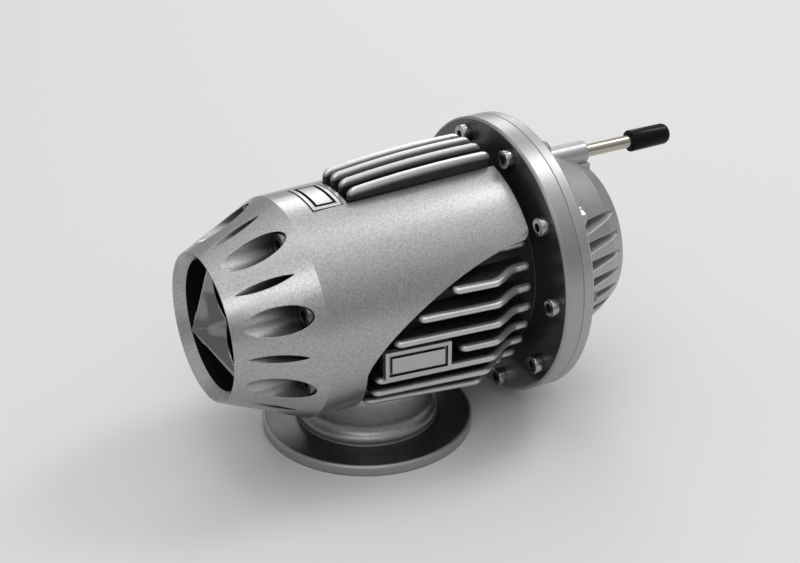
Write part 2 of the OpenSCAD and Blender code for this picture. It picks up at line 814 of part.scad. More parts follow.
module valve_body() {
    color(charcoal)
        difference() {
            union() {
                barrel(core_r, front_x, flange_x + over);
                barrel(land_r - fit_gap, front_x, front_x + land_len);
                turned([
                    [0, flange_x],
                    [flange_d / 2 - flange_bevel, flange_x],
                    [flange_d / 2, flange_x + flange_bevel],
                    [flange_d / 2, cover_x - joint_gap],
                    [flange_d / 2 - rim_lip_w, cover_x - joint_gap],
                    [flange_d / 2 - rim_lip_w, sheet_x],
                    [0, sheet_x]
                ]);
                side_fins();
                side_pad();
                top_pad();
                top_ribs();
                inlet_neck();
            }
            body_cavity();
            translate([0, 0, -over])
                cylinder(d = inlet_bore_d, h = axis_z + over);
            axial(front_x - over)
                around(pocket_n, pocket_circle_d / 2, 180 / pocket_n)
                    cylinder(r = m4_r + fit_gap, h = m4_len - web_t + 2 * over);
            axial(flange_x - over)
                around(flange_screw_n, flange_circle_d / 2, 180 / flange_screw_n)
                    cylinder(r = m3_r + fit_gap, h = front_flange_t + 2 * over);
            axial(chamber_rear - over)
                around(port_n, port_circle_r, 180 / port_n)
                    cylinder(r = port_r, h = partition_t + 2 * over);
        }
}

module side_plate() {
    color(silver)
        on_side_plate()
            difference() {
                translate([0, 0, -plate_h / 2])
                    cube([plate_len, plate_t, plate_h]);
                translate([plate_len / 2, frame_groove_depth, 0])
                    rotate([90, 0, 0])
                        linear_extrude(frame_groove_depth + over)
                            frame_groove(plate_len, plate_h);
            }
}

module top_plate() {
    middle = top_plate_x + top_plate_len / 2;
    color(silver)
        difference() {
            intersection() {
                ring(top_plate_r, top_plate_r - top_plate_t, top_plate_x, top_plate_x + top_plate_len);
                translate([top_plate_x, -top_plate_w / 2, axis_z])
                    cube([top_plate_len, top_plate_w, skirt_d]);
            }
            intersection() {
                ring(top_plate_r + over, top_plate_r - frame_groove_depth, top_plate_x, top_plate_x + top_plate_len);
                translate([middle, 0, axis_z])
                    linear_extrude(skirt_d)
                        frame_groove(top_plate_len, top_plate_w);
            }
        }
}

module flange_screws() {
    color(steel)
        axial(flange_x)
            around(flange_screw_n, flange_circle_d / 2, 180 / flange_screw_n)
                socket_screw(m3_r, dome_x - flange_x + m3_nut_h + screw_end, m3_head_r, m3_head_h, m3_key);
}

module flange_nuts() {
    color(steel)
        axial(dome_x)
            around(flange_screw_n, flange_circle_d / 2, 180 / flange_screw_n)
                hex_nut(m3_nut_w, m3_nut_h, m3_r + fit_gap);
}

// Wedge-shaped groove at a height above the main axis, from the dome's core out past its edge
module dome_groove(z) {
    inner = half_chord(dome_core_r, z);
    outer = half_chord(dome_d / 2, z);
    translate([dome_x, 0, axis_z + z])
        rotate([90, 0, 90])
            linear_extrude(dome_len + over)
                polygon([
                    [inner / 2, -dome_groove_in / 2],
                    [inner, -dome_groove_in / 2],
                    [outer, -dome_groove_out / 2],
                    [dome_d, -dome_groove_out / 2],
                    [dome_d, dome_groove_out / 2],
                    [outer, dome_groove_out / 2],
                    [inner, dome_groove_in / 2],
                    [inner / 2, dome_groove_in / 2]
                ]);
}

// Grooves between the dome's level fins, on both sides
module dome_grooves() {
    for (side = [0, 1], i = [-dome_groove_n : dome_groove_n])
        mirror([0, side, 0])
            dome_groove(dome_groove_z + i * dome_pitch);
}

module dome() {
    turned([
        [0, dome_x - over],
        [dome_d / 2, dome_x - over],
        [dome_d / 2, dome_x],
        [dome_shoulder_d / 2, dome_end_x - dome_end_len],
        [dome_end_d / 2, dome_end_x],
        [0, dome_end_x]
    ]);
}

// Core of the dome, which is the floor of its grooves
module dome_core() {
    slope = (dome_shoulder_d - dome_end_d) / 2 / dome_end_len;
    turned([
        [0, dome_x - over],
        [dome_core_r, dome_x - over],
        [dome_core_r, dome_end_x - (dome_core_r - dome_end_d / 2) / slope],
        [dome_end_d / 2, dome_end_x],
        [0, dome_end_x]
    ]);
}

module nipple_boss() {
    ledge_h = nipple_z - boss_d / 2 + 1.2;
    translate([dome_x - over, -boss_ledge_w / 2, axis_z])
        cube([dome_len + over, boss_ledge_w, ledge_h]);
    translate([0, 0, nipple_z])
        barrel(boss_d / 2, dome_x - over, dome_end_x);
}

module rear_cover() {
    drop_x = dome_end_x - nipple_in - nipple_d;
    color(silver)
        difference() {
            union() {
                turned([
                    [0, cover_x],
                    [flange_d / 2, cover_x],
                    [flange_d / 2, dome_x - flange_bevel],
                    [flange_d / 2 - flange_bevel, dome_x],
                    [0, dome_x]
                ]);
                difference() {
                    dome();
                    dome_grooves();
                }
                dome_core();
                nipple_boss();
            }
            turned([
                [0, cover_x - over],
                [free_d / 2, cover_x - over],
                [free_d / 2, cover_x + recess_depth],
                [cavity_r, cover_x + recess_depth],
                [cavity_r, cavity_end_x - cover_wall],
                [dome_end_d / 2 - cover_wall, cavity_end_x],
                [0, cavity_end_x]
            ]);
            translate([0, 0, nipple_z]) {
                barrel(nipple_d / 2 + fit_gap, dome_end_x - nipple_in, dome_end_x + over);
                barrel(nipple_bore_d / 2, drop_x, dome_end_x);
            }
            translate([drop_x + nipple_bore_d / 2, 0, axis_z + cavity_r / 2])
                cylinder(d = nipple_bore_d, h = nipple_z - cavity_r / 2);
            axial(cover_x - over)
                around(flange_screw_n, flange_circle_d / 2, 180 / flange_screw_n)
                    cylinder(r = m3_r + fit_gap, h = rear_flange_t + 2 * over);
        }
}

module hose_nipple() {
    start_x = dome_end_x - nipple_in;
    color(steel)
        translate([0, 0, nipple_z])
            ring(nipple_d / 2, nipple_bore_d / 2, start_x, dome_end_x + nipple_out);
}

module nipple_cap() {
    tube_end = dome_end_x + nipple_out;
    cap_x = tube_end - cap_grip;
    cap_r = cap_d / 2;
    round_r = cap_r * 0.6;
    color(rubber)
        translate([0, 0, nipple_z])
            difference() {
                axial(cap_x)
                    rotate_extrude()
                        intersection() {
                            square([cap_r, cap_len]);
                            union() {
                                square([cap_r, cap_len - round_r]);
                                square([cap_r - round_r, cap_len]);
                                translate([cap_r - round_r, cap_len - round_r])
                                    circle(round_r, $fn = 48);
                            }
                        }
                barrel(nipple_d / 2 + fit_gap, cap_x - over, tube_end + over);
            }
}

module seat_ring() {
    color(bronze)
        turned([
            [seat_bore_d / 2, front_x],
            [seat_flange_r, front_x],
            [seat_flange_r, front_x + seat_flange_t],
            [seat_nose_r, front_x + seat_flange_t],
            [seat_nose_r, seat_face_x],
            [seat_bore_d / 2, seat_face_x]
        ]);
}

module secondary_valve() {
    color(silver) {
        difference() {
            union() {
                barrel(secondary_d / 2, secondary_x, secondary_rear_x);
                ring(lip_rib_r + lip_rib_t, lip_rib_r, secondary_rear_x - over, secondary_rear_x + lip_rib_h);
            }
            barrel(port_d / 2, secondary_x - over, secondary_rear_x + over);
            ring(seal_r + seal_w / 2, seal_r - seal_w / 2, secondary_x - over, secondary_x + seal_depth);
        }
        difference() {
            union() {
                barrel(hub_r, secondary_x, secondary_x + spoke_t);
                intersection() {
                    barrel(port_d / 2 + over, secondary_x, secondary_x + spoke_t);
                    axial(secondary_x)
                        around(spoke_n, 0, 0)
                            translate([0, -spoke_w / 2, 0])
                                cube([port_d / 2 + over, spoke_w, spoke_t]);
                }
            }
            barrel(pilot_d / 2 + run_gap, secondary_x - over, secondary_x + spoke_t + over);
        }
    }
}

module secondary_seal() {
    color(rubber)
        ring(seal_r + seal_w / 2 - fit_gap, seal_r - seal_w / 2 + fit_gap,
            secondary_x - seal_proud, secondary_x + seal_depth);
}

module primary_valve() {
    color(silver)
        difference() {
            barrel(primary_d / 2, primary_x, shoulder_x);
            barrel(pilot_d / 2 + fit_gap, primary_x - over, shoulder_x + over);
            ring(primary_seal_r + primary_seal_w / 2, primary_seal_r - primary_seal_w / 2,
                primary_x - over, primary_x + primary_seal_depth);
        }
}

module primary_seal() {
    color(rubber)
        ring(primary_seal_r + primary_seal_w / 2 - fit_gap, primary_seal_r - primary_seal_w / 2 + fit_gap,
            primary_x - seal_proud, primary_x + primary_seal_depth);
}

module valve_shaft() {
    color(steel)
        turned([
            [0, pilot_x],
            [pilot_d / 2, pilot_x],
            [pilot_d / 2, shoulder_x],
            [stem_d / 2, shoulder_x],
            [stem_d / 2, front_plate_x],
            [tail_d / 2, front_plate_x],
            [tail_d / 2, tail_x],
            [0, tail_x]
        ]);
}

module stop_nut() {
    color(steel)
        axial(stop_nut_x)
            hex_nut(stop_nut_w, stop_nut_t, pilot_d / 2 + fit_gap);
}

module guide_bush() {
    color(bronze)
        difference() {
            union() {
                barrel(bush_d / 2, chamber_rear - bush_flange_t, partition_x);
                barrel(bush_flange_r, chamber_rear - bush_flange_t, chamber_rear);
            }
            barrel(stem_d / 2 + run_gap, chamber_rear - bush_flange_t - over, partition_x + over);
        }
}

module secondary_spring() {
    color(steel)
        coil(light_coil_d, light_wire_d, light_turns, secondary_rear_x + seal_gap, chamber_rear - seal_gap);
}

// Section of the rubber sheet: flat, with one arched fold between the plates and the flange
module diaphragm_section() {
    bore_r = tail_d / 2 + fit_gap;
    rim_r = flange_d / 2 - rim_lip_w - fit_gap;
    fold_in = fold_mid_r - fold_w / 2;
    fold_out = fold_mid_r + fold_w / 2;
    translate([bore_r, sheet_x])
        square([fold_in - bore_r, diaphragm_t]);
    translate([fold_out, sheet_x])
        square([rim_r - fold_out, diaphragm_t]);
    intersection() {
        translate([fold_in, sheet_x - recess_depth])
            square([fold_w, recess_depth + diaphragm_t]);
        translate([fold_mid_r, sheet_x + fold_r - fold_depth])
            difference() {
                circle(fold_r, $fn = 96);
                circle(fold_r - diaphragm_t, $fn = 96);
            }
    }
}

module diaphragm() {
    color(rubber)
        difference() {
            axial()
                rotate_extrude()
                    diaphragm_section();
            axial(sheet_x - over)
                around(flange_screw_n, flange_circle_d / 2, 180 / flange_screw_n)
                    cylinder(r = m3_r + fit_gap, h = diaphragm_t + 2 * over);
        }
}

module front_plate() {
    color(silver)
        ring(plate_d / 2, tail_d / 2 + fit_gap, front_plate_x, front_plate_x + disc_plate_t);
}

module rear_plate() {
    color(silver) {
        ring(plate_d / 2, tail_d / 2 + fit_gap, rear_plate_x, plate_nut_x);
        ring(plate_d / 2, plate_d / 2 - cup_t, plate_nut_x - over, plate_nut_x + cup_h);
    }
}

module plate_nut() {
    color(steel)
        axial(plate_nut_x)
            hex_nut(plate_nut_w, plate_nut_t, tail_d / 2 + fit_gap);
}

module main_spring() {
    color(steel)
        coil(main_coil_d, main_wire_d, main_turns, plate_nut_x + seal_gap, cavity_end_x - seal_gap);
}

cowl();
nose_fin();
cowl_screws();
valve_body();
side_plate();
top_plate();
flange_screws();
flange_nuts();
rear_cover();
hose_nipple();
nipple_cap();
seat_ring();
secondary_valve();
secondary_seal();
primary_valve();
primary_seal();
valve_shaft();
stop_nut();
guide_bush();
secondary_spring();
diaphragm();
front_plate();
rear_plate();
plate_nut();
main_spring();
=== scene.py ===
"""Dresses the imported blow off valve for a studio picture.

Some nodes keep their CAD shape, and others are shaped anew in their places.
Sizes are in millimetres in the frame of the CAD model; finished meshes are in metres.
"""

import itertools
import json
import logging
import math
from dataclasses import dataclass, field
from enum import Enum
from functools import cached_property

import bmesh
import bpy
from mathutils import Matrix, Vector

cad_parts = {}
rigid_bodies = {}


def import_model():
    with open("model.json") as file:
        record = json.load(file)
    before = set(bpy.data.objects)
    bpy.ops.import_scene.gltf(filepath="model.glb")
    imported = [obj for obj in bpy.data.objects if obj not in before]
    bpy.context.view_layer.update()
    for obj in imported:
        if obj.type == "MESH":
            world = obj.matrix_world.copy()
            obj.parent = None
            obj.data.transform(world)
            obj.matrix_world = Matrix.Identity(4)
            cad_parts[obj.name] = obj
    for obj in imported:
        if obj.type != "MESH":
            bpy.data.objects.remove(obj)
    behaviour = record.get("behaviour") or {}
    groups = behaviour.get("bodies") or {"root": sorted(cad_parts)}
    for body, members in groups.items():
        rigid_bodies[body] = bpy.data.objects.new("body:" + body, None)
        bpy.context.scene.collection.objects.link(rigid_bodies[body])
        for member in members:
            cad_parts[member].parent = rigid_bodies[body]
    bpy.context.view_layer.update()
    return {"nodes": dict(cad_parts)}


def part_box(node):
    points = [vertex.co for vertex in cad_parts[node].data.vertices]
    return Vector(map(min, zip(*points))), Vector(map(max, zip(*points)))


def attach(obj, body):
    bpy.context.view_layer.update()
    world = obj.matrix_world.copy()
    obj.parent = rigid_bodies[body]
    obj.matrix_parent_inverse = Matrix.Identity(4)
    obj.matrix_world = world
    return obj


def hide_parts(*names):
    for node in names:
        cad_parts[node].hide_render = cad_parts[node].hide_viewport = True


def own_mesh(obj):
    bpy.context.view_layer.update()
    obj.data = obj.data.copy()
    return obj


LOG = logging.getLogger("blow_off_valve")
MM = 0.001
TOUCH = 0.001  # Millimetres within which two places count as one.
Color = tuple[float, float, float]
Point = tuple[float, float, float]
Span = tuple[float, float]
Mesh = bmesh.types.BMesh
Socket = bpy.types.NodeSocket


class Slot(Enum):
    """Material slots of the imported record."""

    COWL = "cowl_paint"
    BODY = "body_cast"
    COVER = "cover_cast"
    PLATE = "plate"
    CHROME = "chrome"
    STAINLESS = "stainless"
    NICKEL = "nickel"
    RUBBER = "rubber"
    BRONZE = "bronze"
    MACHINED = "machined"
    SPRING = "spring_steel"


class Body(Enum):
    """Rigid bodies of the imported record."""

    HOUSING = "housing"
    SECONDARY = "secondary"
    STEM = "stem"


class Joint(Enum):
    """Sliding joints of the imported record."""

    LIFT = "secondary_slide"
    STROKE = "stem_slide"

    @property
    def travel(self) -> float:
        """Returns the joint's travel in millimetres."""
        return {Joint.LIFT: 6.0, Joint.STROKE: 2.0}[self]


@dataclass(frozen=True)
class Layout:
    """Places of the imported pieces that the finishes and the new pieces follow, in millimetres."""

    axis_z: float
    web_x: float
    flange_x: float
    sheet_x: float
    dome_x: float
    nipple_z: float
    flange_r: float
    lip_x: float
    cowl_r: float

    @classmethod
    def read(cls) -> "Layout":
        """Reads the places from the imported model.

        Returns:
            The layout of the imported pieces.
        """
        shaft_low, shaft_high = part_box("valve_shaft")
        cover_low, cover_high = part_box("rear_cover")
        tube_low, tube_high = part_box("hose_nipple")
        cowl_low, cowl_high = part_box("cowl")
        return cls(
            axis_z=(shaft_low.z + shaft_high.z) / 2 / MM,
            web_x=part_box("cowl_screws")[0].x / MM + SocketScrew.M4_HEAD_H,
            flange_x=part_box("flange_screws")[0].x / MM + SocketScrew.M3_HEAD_H,
            sheet_x=cover_low.x / MM - Diaphragm.SHEET_T,
            dome_x=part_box("flange_nuts")[0].x / MM,
            nipple_z=(tube_low.z + tube_high.z) / 2 / MM,
            flange_r=(cover_high.y - cover_low.y) / 2 / MM,
            lip_x=cowl_low.x / MM,
            cowl_r=(cowl_high.y - cowl_low.y) / 2 / MM,
        )


class Graph:
    """Builder of the nodes of a material or the world, with places in millimetres of object space."""

    def __init__(self, owner: bpy.types.ID, shader: str = "Principled BSDF") -> None:
        """Opens the nodes.

        Args:
            owner: The new material or world.
            shader: Name of its shader node.
        """
        owner.use_nodes = True
        self.owner = owner
        self.tree = owner.node_tree
        self.shader = self.tree.nodes[shader]

    def node(self, kind: str, **settings: object) -> bpy.types.Node:
        """Adds a node.

        Args:
            kind: Node type.
            settings: Attributes to set on the node.

        Returns:
            The new node.
        """
        made = self.tree.nodes.new(kind)
        for key, value in settings.items():
            setattr(made, key, value)
        return made

    def feed(self, socket: Socket, value: object) -> None:
        """Links a socket to another, or sets its value.

        Args:
            socket: The socket to feed.
            value: Another socket, or a value.
        """
        if isinstance(value, Socket):
            self.tree.links.new(value, socket)
        else:
            socket.default_value = value

    def set(self, **values: object) -> None:
        """Feeds the shader's sockets; underscores stand for spaces."""
        for key, value in values.items():
            self.feed(self.shader.inputs[key.replace("_", " ")], value)

    def math(self, operation: str, *values: object, clamp: bool = False) -> Socket:
        """Adds a Math node.

        Args:
            operation: The node's operation.
            values: Its inputs, as sockets or numbers.
            clamp: Whether the result stays from 0 to 1.

        Returns:
            The result's socket.
        """
        made = self.node("ShaderNodeMath", operation=operation, use_clamp=clamp)
        for socket, value in zip(made.inputs, values):
            self.feed(socket, value)
        return made.outputs[0]

    @cached_property
    def point(self) -> Socket:
        """Gives the object coordinates.

        Returns:
            Their socket, in millimetres.
        """
        scale = self.node("ShaderNodeVectorMath", operation="SCALE")
        self.feed(scale.inputs[0], self.node("ShaderNodeTexCoord").outputs["Object"])
        self.feed(scale.inputs["Scale"], 1 / MM)
        return scale.outputs[0]

    def place(self) -> list[Socket]:
        """Splits the object coordinates.

        Returns:
            The sockets of x, y and z, in millimetres.
        """
        split = self.node("ShaderNodeSeparateXYZ")
        self.feed(split.inputs[0], self.point)
        return list(split.outputs)

    def rest(self, share: Socket) -> Socket:
        """Returns what a share leaves of one."""
        return self.math("SUBTRACT", 1.0, share)

    def length(self, a: Socket, b: Socket) -> Socket:
        """Returns the length of the vector with these two parts."""
        return self.math("SQRT", self.math("ADD", self.math("MULTIPLY", a, a), self.math("MULTIPLY", b, b)))

    def ramp(self, value: Socket, low: float, high: float, smooth: bool = True) -> Socket:
        """Returns 0 below low, 1 above high and a ramp between them.

        Args:
            value: What the ramp reads.
            low: Where it starts.
            high: Where it ends.
            smooth: Whether it eases in and out.

        Returns:
            The ramp's socket.
        """
        made = self.node("ShaderNodeMapRange", interpolation_type="SMOOTHSTEP" if smooth else "LINEAR")
        self.feed(made.inputs["Value"], value)
        made.inputs["From Min"].default_value = low
        made.inputs["From Max"].default_value = high
        return made.outputs["Result"]

    def span(self, value: Socket, at_zero: float, at_one: float) -> Socket:
        """Returns the number from at_zero to at_one at a share from 0 to 1."""
        return self.math("MULTIPLY_ADD", value, at_one - at_zero, at_zero)

    def blend(self, share: Socket, values: tuple, kind: str, port: int, out: int) -> Socket:
        """Adds a Mix node.

        Args:
            share: Share of the second value.
            values: The values at share 0 and share 1, or their sockets.
            kind: The node's data type.
            port: Its first input of that type.
            out: Its output of that type.

        Returns:
            The blended value's socket.
        """
        made = self.node("ShaderNodeMix", data_type=kind)
        for index, value in ((0, share), (port, values[0]), (port + 1, values[1])):
            self.feed(made.inputs[index], (*value, 1.0) if isinstance(value, tuple) else value)
        return made.outputs[out]

    def pick(self, share: Socket, *numbers: object) -> Socket:
        """Returns a number that is the first at share 0 and the second at share 1."""
        return self.blend(share, numbers, "FLOAT", port=2, out=0)

    def tint(self, share: Socket, *colors: object) -> Socket:
        """Returns a colour that is the first at share 0 and the second at share 1."""
        return self.blend(share, colors, "RGBA", port=6, out=2)

    def noise(self, grain: float, detail: float = 2.0) -> Socket:
        """Adds noise.

        Args:
            grain: About how wide its grains are, in millimetres.
            detail: How much finer noise lies over it.

        Returns:
            The noise's socket, about from 0 to 1.
        """
        made = self.node("ShaderNodeTexNoise")
        self.feed(made.inputs["Vector"], self.point)
        made.inputs["Scale"].default_value = 1 / grain
        made.inputs["Detail"].default_value = detail
        return made.outputs["Fac"]

    def flakes(self, grain: float) -> Socket:
        """Adds flakes.

        Args:
            grain: About how wide a flake is, in millimetres.

        Returns:
            The socket of one random number per flake.
        """
        made = self.node("ShaderNodeTexVoronoi", feature="F1")
        self.feed(made.inputs["Vector"], self.point)
        made.inputs["Scale"].default_value = 1 / grain
        split = self.node("ShaderNodeSeparateColor")
        self.feed(split.inputs[0], made.outputs["Color"])
        return split.outputs[0]

    def openness(self, reach: float) -> Socket:
        """Finds recesses.

        Args:
            reach: About how wide they are, in millimetres.

        Returns:
            The socket of a number that is 1 on open faces and less in recesses.
        """
        made = self.node("ShaderNodeAmbientOcclusion", samples=8, only_local=True)
        made.inputs["Distance"].default_value = reach * MM
        return made.outputs["AO"]

    def relief(self, height: Socket | None, depth: float, edge: float | Socket = 0.0) -> None:
        """Feeds the shader's normal with a relief and softened edges.

        Args:
            height: Height of the relief from 0 to 1, or None.
            depth: Depth of the relief in millimetres.
            edge: Radius of the softened edges in millimetres, or a socket that gives it.
        """
        normal = None
        if edge:
            bevel = self.node("ShaderNodeBevel", samples=6)
            varies = isinstance(edge, Socket)
            self.feed(bevel.inputs["Radius"], self.math("MULTIPLY", edge, MM) if varies else edge * MM)
            normal = bevel.outputs[0]
        if height is not None:
            bump = self.node("ShaderNodeBump")
            bump.inputs["Strength"].default_value = 1.0
            bump.inputs["Distance"].default_value = depth * MM
            self.feed(bump.inputs["Height"], height)
            if normal is not None:
                self.feed(bump.inputs["Normal"], normal)
            normal = bump.outputs[0]
        if normal is not None:
            self.feed(self.shader.inputs["Normal"], normal)


@dataclass(frozen=True)
class MetalFlakePaint:
    """Silver paint with fine flakes under a clear coat, with painted shade in its pockets and slots and a
    painted black shade in the bore.
    """

    layout: Layout
    name: str = "silver_flake_paint"
    color: Color = (0.41, 0.413, 0.42)
    # Colour of the painted shade deep in the pockets and slots.
    shade: Color = (0.085, 0.085, 0.087)
    # Black of the painted shade in the bore.
    black: Color = (0.008, 0.008, 0.009)
    flake_mm: float = 0.23
    flake_share: float = 0.24
    roughness: float = 0.3
    lip_r: float = 21.65
    nose_len: float = 24.0
    mouth_depth: float = 3.1
    mouth_r: float = 19.15
    mouth_edge: float = 0.05
    bore_edge: Span = (0.15, 0.25)
    pocket_fade: Span = (0.8, 6.5)
    slot_reach: float = 3.5
    slot_fade: Span = (0.25, 0.52)
    metallic: float = 0.82
    cloud_mm: float = 6.0
    cloud: float = 0.04
    coat: Span = (0.2, 0.16)
    relief_mm: float = 0.006
    edge_mm: float = 0.25

    def build(self) -> bpy.types.Material:
        """Builds the nodes.

        Returns:
            The material.
        """
        graph = Graph(bpy.data.materials.new(self.name))
        x, y, z = graph.place()
        radius = graph.length(y, graph.math("SUBTRACT", z, self.layout.axis_z))
        mouth_x = self.layout.lip_x + self.mouth_depth
        # Painted shade: the bore behind the mouth is painted black and not metallic.
        behind = graph.ramp(x, mouth_x - self.mouth_edge, mouth_x + self.mouth_edge)
        bore = graph.rest(graph.ramp(radius, *(self.mouth_r + edge for edge in self.bore_edge)))
        painted_bore_shade = graph.math("MULTIPLY", behind, bore)
        # Painted shade: the pockets darken with their depth under the skin, and the slots where ambient
        # occlusion finds them.
        cone = graph.ramp(x, self.layout.lip_x, self.layout.lip_x + self.nose_len, smooth=False)
        skin = graph.span(cone, self.lip_r, self.layout.cowl_r)
        pocket_shade = graph.ramp(graph.math("SUBTRACT", skin, radius), *self.pocket_fade)
        slot = graph.rest(graph.ramp(graph.openness(self.slot_reach), *self.slot_fade))
        painted_recess_shade = graph.math("MULTIPLY", behind, graph.math("MAXIMUM", slot, pocket_shade))
        flake = graph.flakes(self.flake_mm)
        dark = tuple(c * (1 - self.flake_share) for c in self.color)
        bright = tuple(min(1.0, c * (1 + self.flake_share)) for c in self.color)
        paint = graph.tint(painted_recess_shade, graph.tint(flake, dark, bright), self.shade)
        graph.set(Base_Color=graph.tint(painted_bore_shade, paint, self.black))
        graph.set(Metallic=graph.span(painted_bore_shade, self.metallic, 0.0))
        rough, smooth = self.roughness + self.cloud, self.roughness - self.cloud
        graph.set(Roughness=graph.span(graph.noise(self.cloud_mm), smooth, rough))
        graph.set(Coat_Weight=self.coat[0], Coat_Roughness=self.coat[1])
        graph.relief(flake, self.relief_mm, edge=self.edge_mm)
        return graph.owner


@dataclass(frozen=True)
class FinnedCasting:
    """Casting in a black coat with silver crests, rims and neck; the fade from the crests into the black
    recesses is partly painted shade.
    """

    layout: Layout
    name: str = "two_tone_casting"
    silver: Color = (0.6, 0.605, 0.615)
    black: Color = (0.008, 0.008, 0.009)
    speck_grey: Color = (0.035, 0.035, 0.036)
    neck: Color = (0.27, 0.27, 0.268)
    rim: Color = (0.37, 0.372, 0.376)
    flange: Color = (0.1, 0.1, 0.102)
    fin_front: Span = (-16.4, 32.6)
    fin_step: Span = (22.3, 36.8)
    fin_rear: Span = (33.4, 32.15)
    rib_crest: tuple[float, float, float] = (31.0, 39.3, 310.0)
    rib_up: Span = (24.0, 24.2)
    crest_fade: Span = (0.5, 2.3)
    rim_in: Span = (0.8, 0.5)
    flange_ahead: Span = (0.3, 0.2)
    neck_top: Span = (14.5, 18.5)
    inlet_rim: Span = (31.0, 31.4)
    inlet_face: tuple[Span, Span] = ((3.1, 3.2), (3.4, 3.6))
    mottle_mm: float = 1.3
    mottle: Span = (0.72, 1.28)
    grain_mm: float = 0.5
    speck_grey_fade: Span = (0.4, 0.7)
    speck: Span = (0.8, 1.2)
    metallic: float = 0.85
    roughness: Span = (0.26, 0.42)
    relief_mm: float = 0.03
    edge_mm: Span = (0.4, 1.6)

    def _crest_depth(self, graph: Graph, x: Socket, up: Socket, radius: Socket) -> Socket:
        """Measures how far a point lies under the fins' or the ribs' crests.

        Args:
            graph: The material's nodes.
            x: Station of the point.
            up: Its height over the main axis.
            radius: Its distance from the main axis.

        Returns:
            The depth's socket, in millimetres.
        """
        (x0, r0), (x1, r1), (x2, r2) = self.fin_front, self.fin_step, self.fin_rear
        rise = graph.span(graph.ramp(x, x0, x1, smooth=False), r0, r1)
        drop = graph.math("MULTIPLY", graph.ramp(x, x1, x2), r1 - r2)
        side = graph.math("SUBTRACT", graph.math("SUBTRACT", rise, drop), radius)
        crest_x, crest, arch = self.rib_crest
        back = graph.math("SUBTRACT", x, crest_x)
        sag = graph.math("MULTIPLY", graph.math("MULTIPLY", back, back), 0.5 / arch)
        top = graph.math("SUBTRACT", graph.math("SUBTRACT", crest, sag), radius)
        return graph.pick(graph.ramp(up, *self.rib_up), side, top)

    def build(self) -> bpy.types.Material:
        """Builds the nodes.

        Returns:
            The material.
        """
        graph = Graph(bpy.data.materials.new(self.name))
        x, y, z = graph.place()
        up = graph.math("SUBTRACT", z, self.layout.axis_z)
        radius = graph.length(y, up)
        depth = self._crest_depth(graph, x, up, radius)
        # Silver on the crests fades into the black coat with depth; this fade also paints the shade of the
        # grooves.
        crest = graph.rest(graph.ramp(depth, *self.crest_fade))
        rim = graph.ramp(radius, *(self.layout.flange_r - edge for edge in self.rim_in))
        on_flange = graph.ramp(x, *(self.layout.flange_x - edge for edge in self.flange_ahead))
        low = graph.rest(graph.ramp(z, *self.neck_top))
        inner = graph.rest(graph.ramp(graph.length(x, y), *self.inlet_rim))
        bottom, top = (graph.ramp(z, *edge) for edge in self.inlet_face)
        face = graph.math("MULTIPLY", graph.math("MULTIPLY", bottom, graph.rest(top)), inner)
        bare = graph.pick(low, graph.pick(on_flange, crest, rim), graph.rest(face))
        shades = (tuple(share * c for c in self.neck) for share in self.mottle)
        cast = graph.tint(graph.noise(self.mottle_mm, detail=4.0), *shades)
        worked = graph.tint(graph.math("MAXIMUM", on_flange, low), self.silver, self.rim)
        metal = graph.tint(graph.math("MULTIPLY", low, inner), worked, cast)
        grain = graph.noise(self.grain_mm, detail=3.0)
        # The black of the recesses, speckled with a little grey.
        speckled_black = graph.tint(graph.ramp(grain, *self.speck_grey_fade), self.black, self.speck_grey)
        recess = graph.tint(on_flange, speckled_black, self.flange)
        speck = graph.math("MULTIPLY", bare, graph.span(grain, *self.speck), clamp=True)
        graph.set(Base_Color=graph.tint(speck, recess, metal))
        cast_metal = graph.math("MULTIPLY", bare, self.metallic)
        graph.set(Metallic=graph.pick(on_flange, cast_metal, self.metallic))
        graph.set(Roughness=graph.span(grain, *self.roughness))
        graph.relief(grain, self.relief_mm, edge=graph.pick(low, *self.edge_mm))
        return graph.owner


@dataclass(frozen=True)
class BareMetal:
    """Bare or plated metal with faint grain and softened edges; where asked, a tone is painted into its
    recesses found by ambient occlusion, as painted shade below one and painted light above one.
    """

    name: str
    color: Color
    roughness: float
    grain_mm: float = 0.4
    relief_mm: float = 0.004
    detail: float = 3.0
    tone: float = 0.08
    edge_mm: float = 0.0
    metallic: float = 1.0
    painted_recess_mm: float = 0.0
    painted_recess_tone: float = 0.03
    painted_recess_fade: Span = (0.3, 0.8)
    cloud_mm: float = 3.0
    cloud: float = 0.2

    def build(self) -> bpy.types.Material:
        """Builds the nodes.

        Returns:
            The material.
        """
        graph = Graph(bpy.data.materials.new(self.name))
        grain = graph.noise(self.grain_mm, self.detail)
        low = tuple(c * (1 - self.tone) for c in self.color)
        high = tuple(min(1.0, c * (1 + self.tone)) for c in self.color)
        shown = graph.tint(grain, low, high)
        # Recesses get a tone of the colour: painted shade when it is below one, painted light when above.
        if self.painted_recess_mm > 0:
            open_face = graph.ramp(graph.openness(self.painted_recess_mm), *self.painted_recess_fade)
            shown = graph.tint(open_face, tuple(c * self.painted_recess_tone for c in self.color), shown)
        graph.set(Base_Color=shown, Metallic=self.metallic)
        spread = self.cloud * self.roughness
        cloud = graph.noise(self.cloud_mm)
        graph.set(Roughness=graph.span(cloud, self.roughness - spread, self.roughness + spread))
        graph.relief(grain, self.relief_mm, edge=self.edge_mm)
        return graph.owner


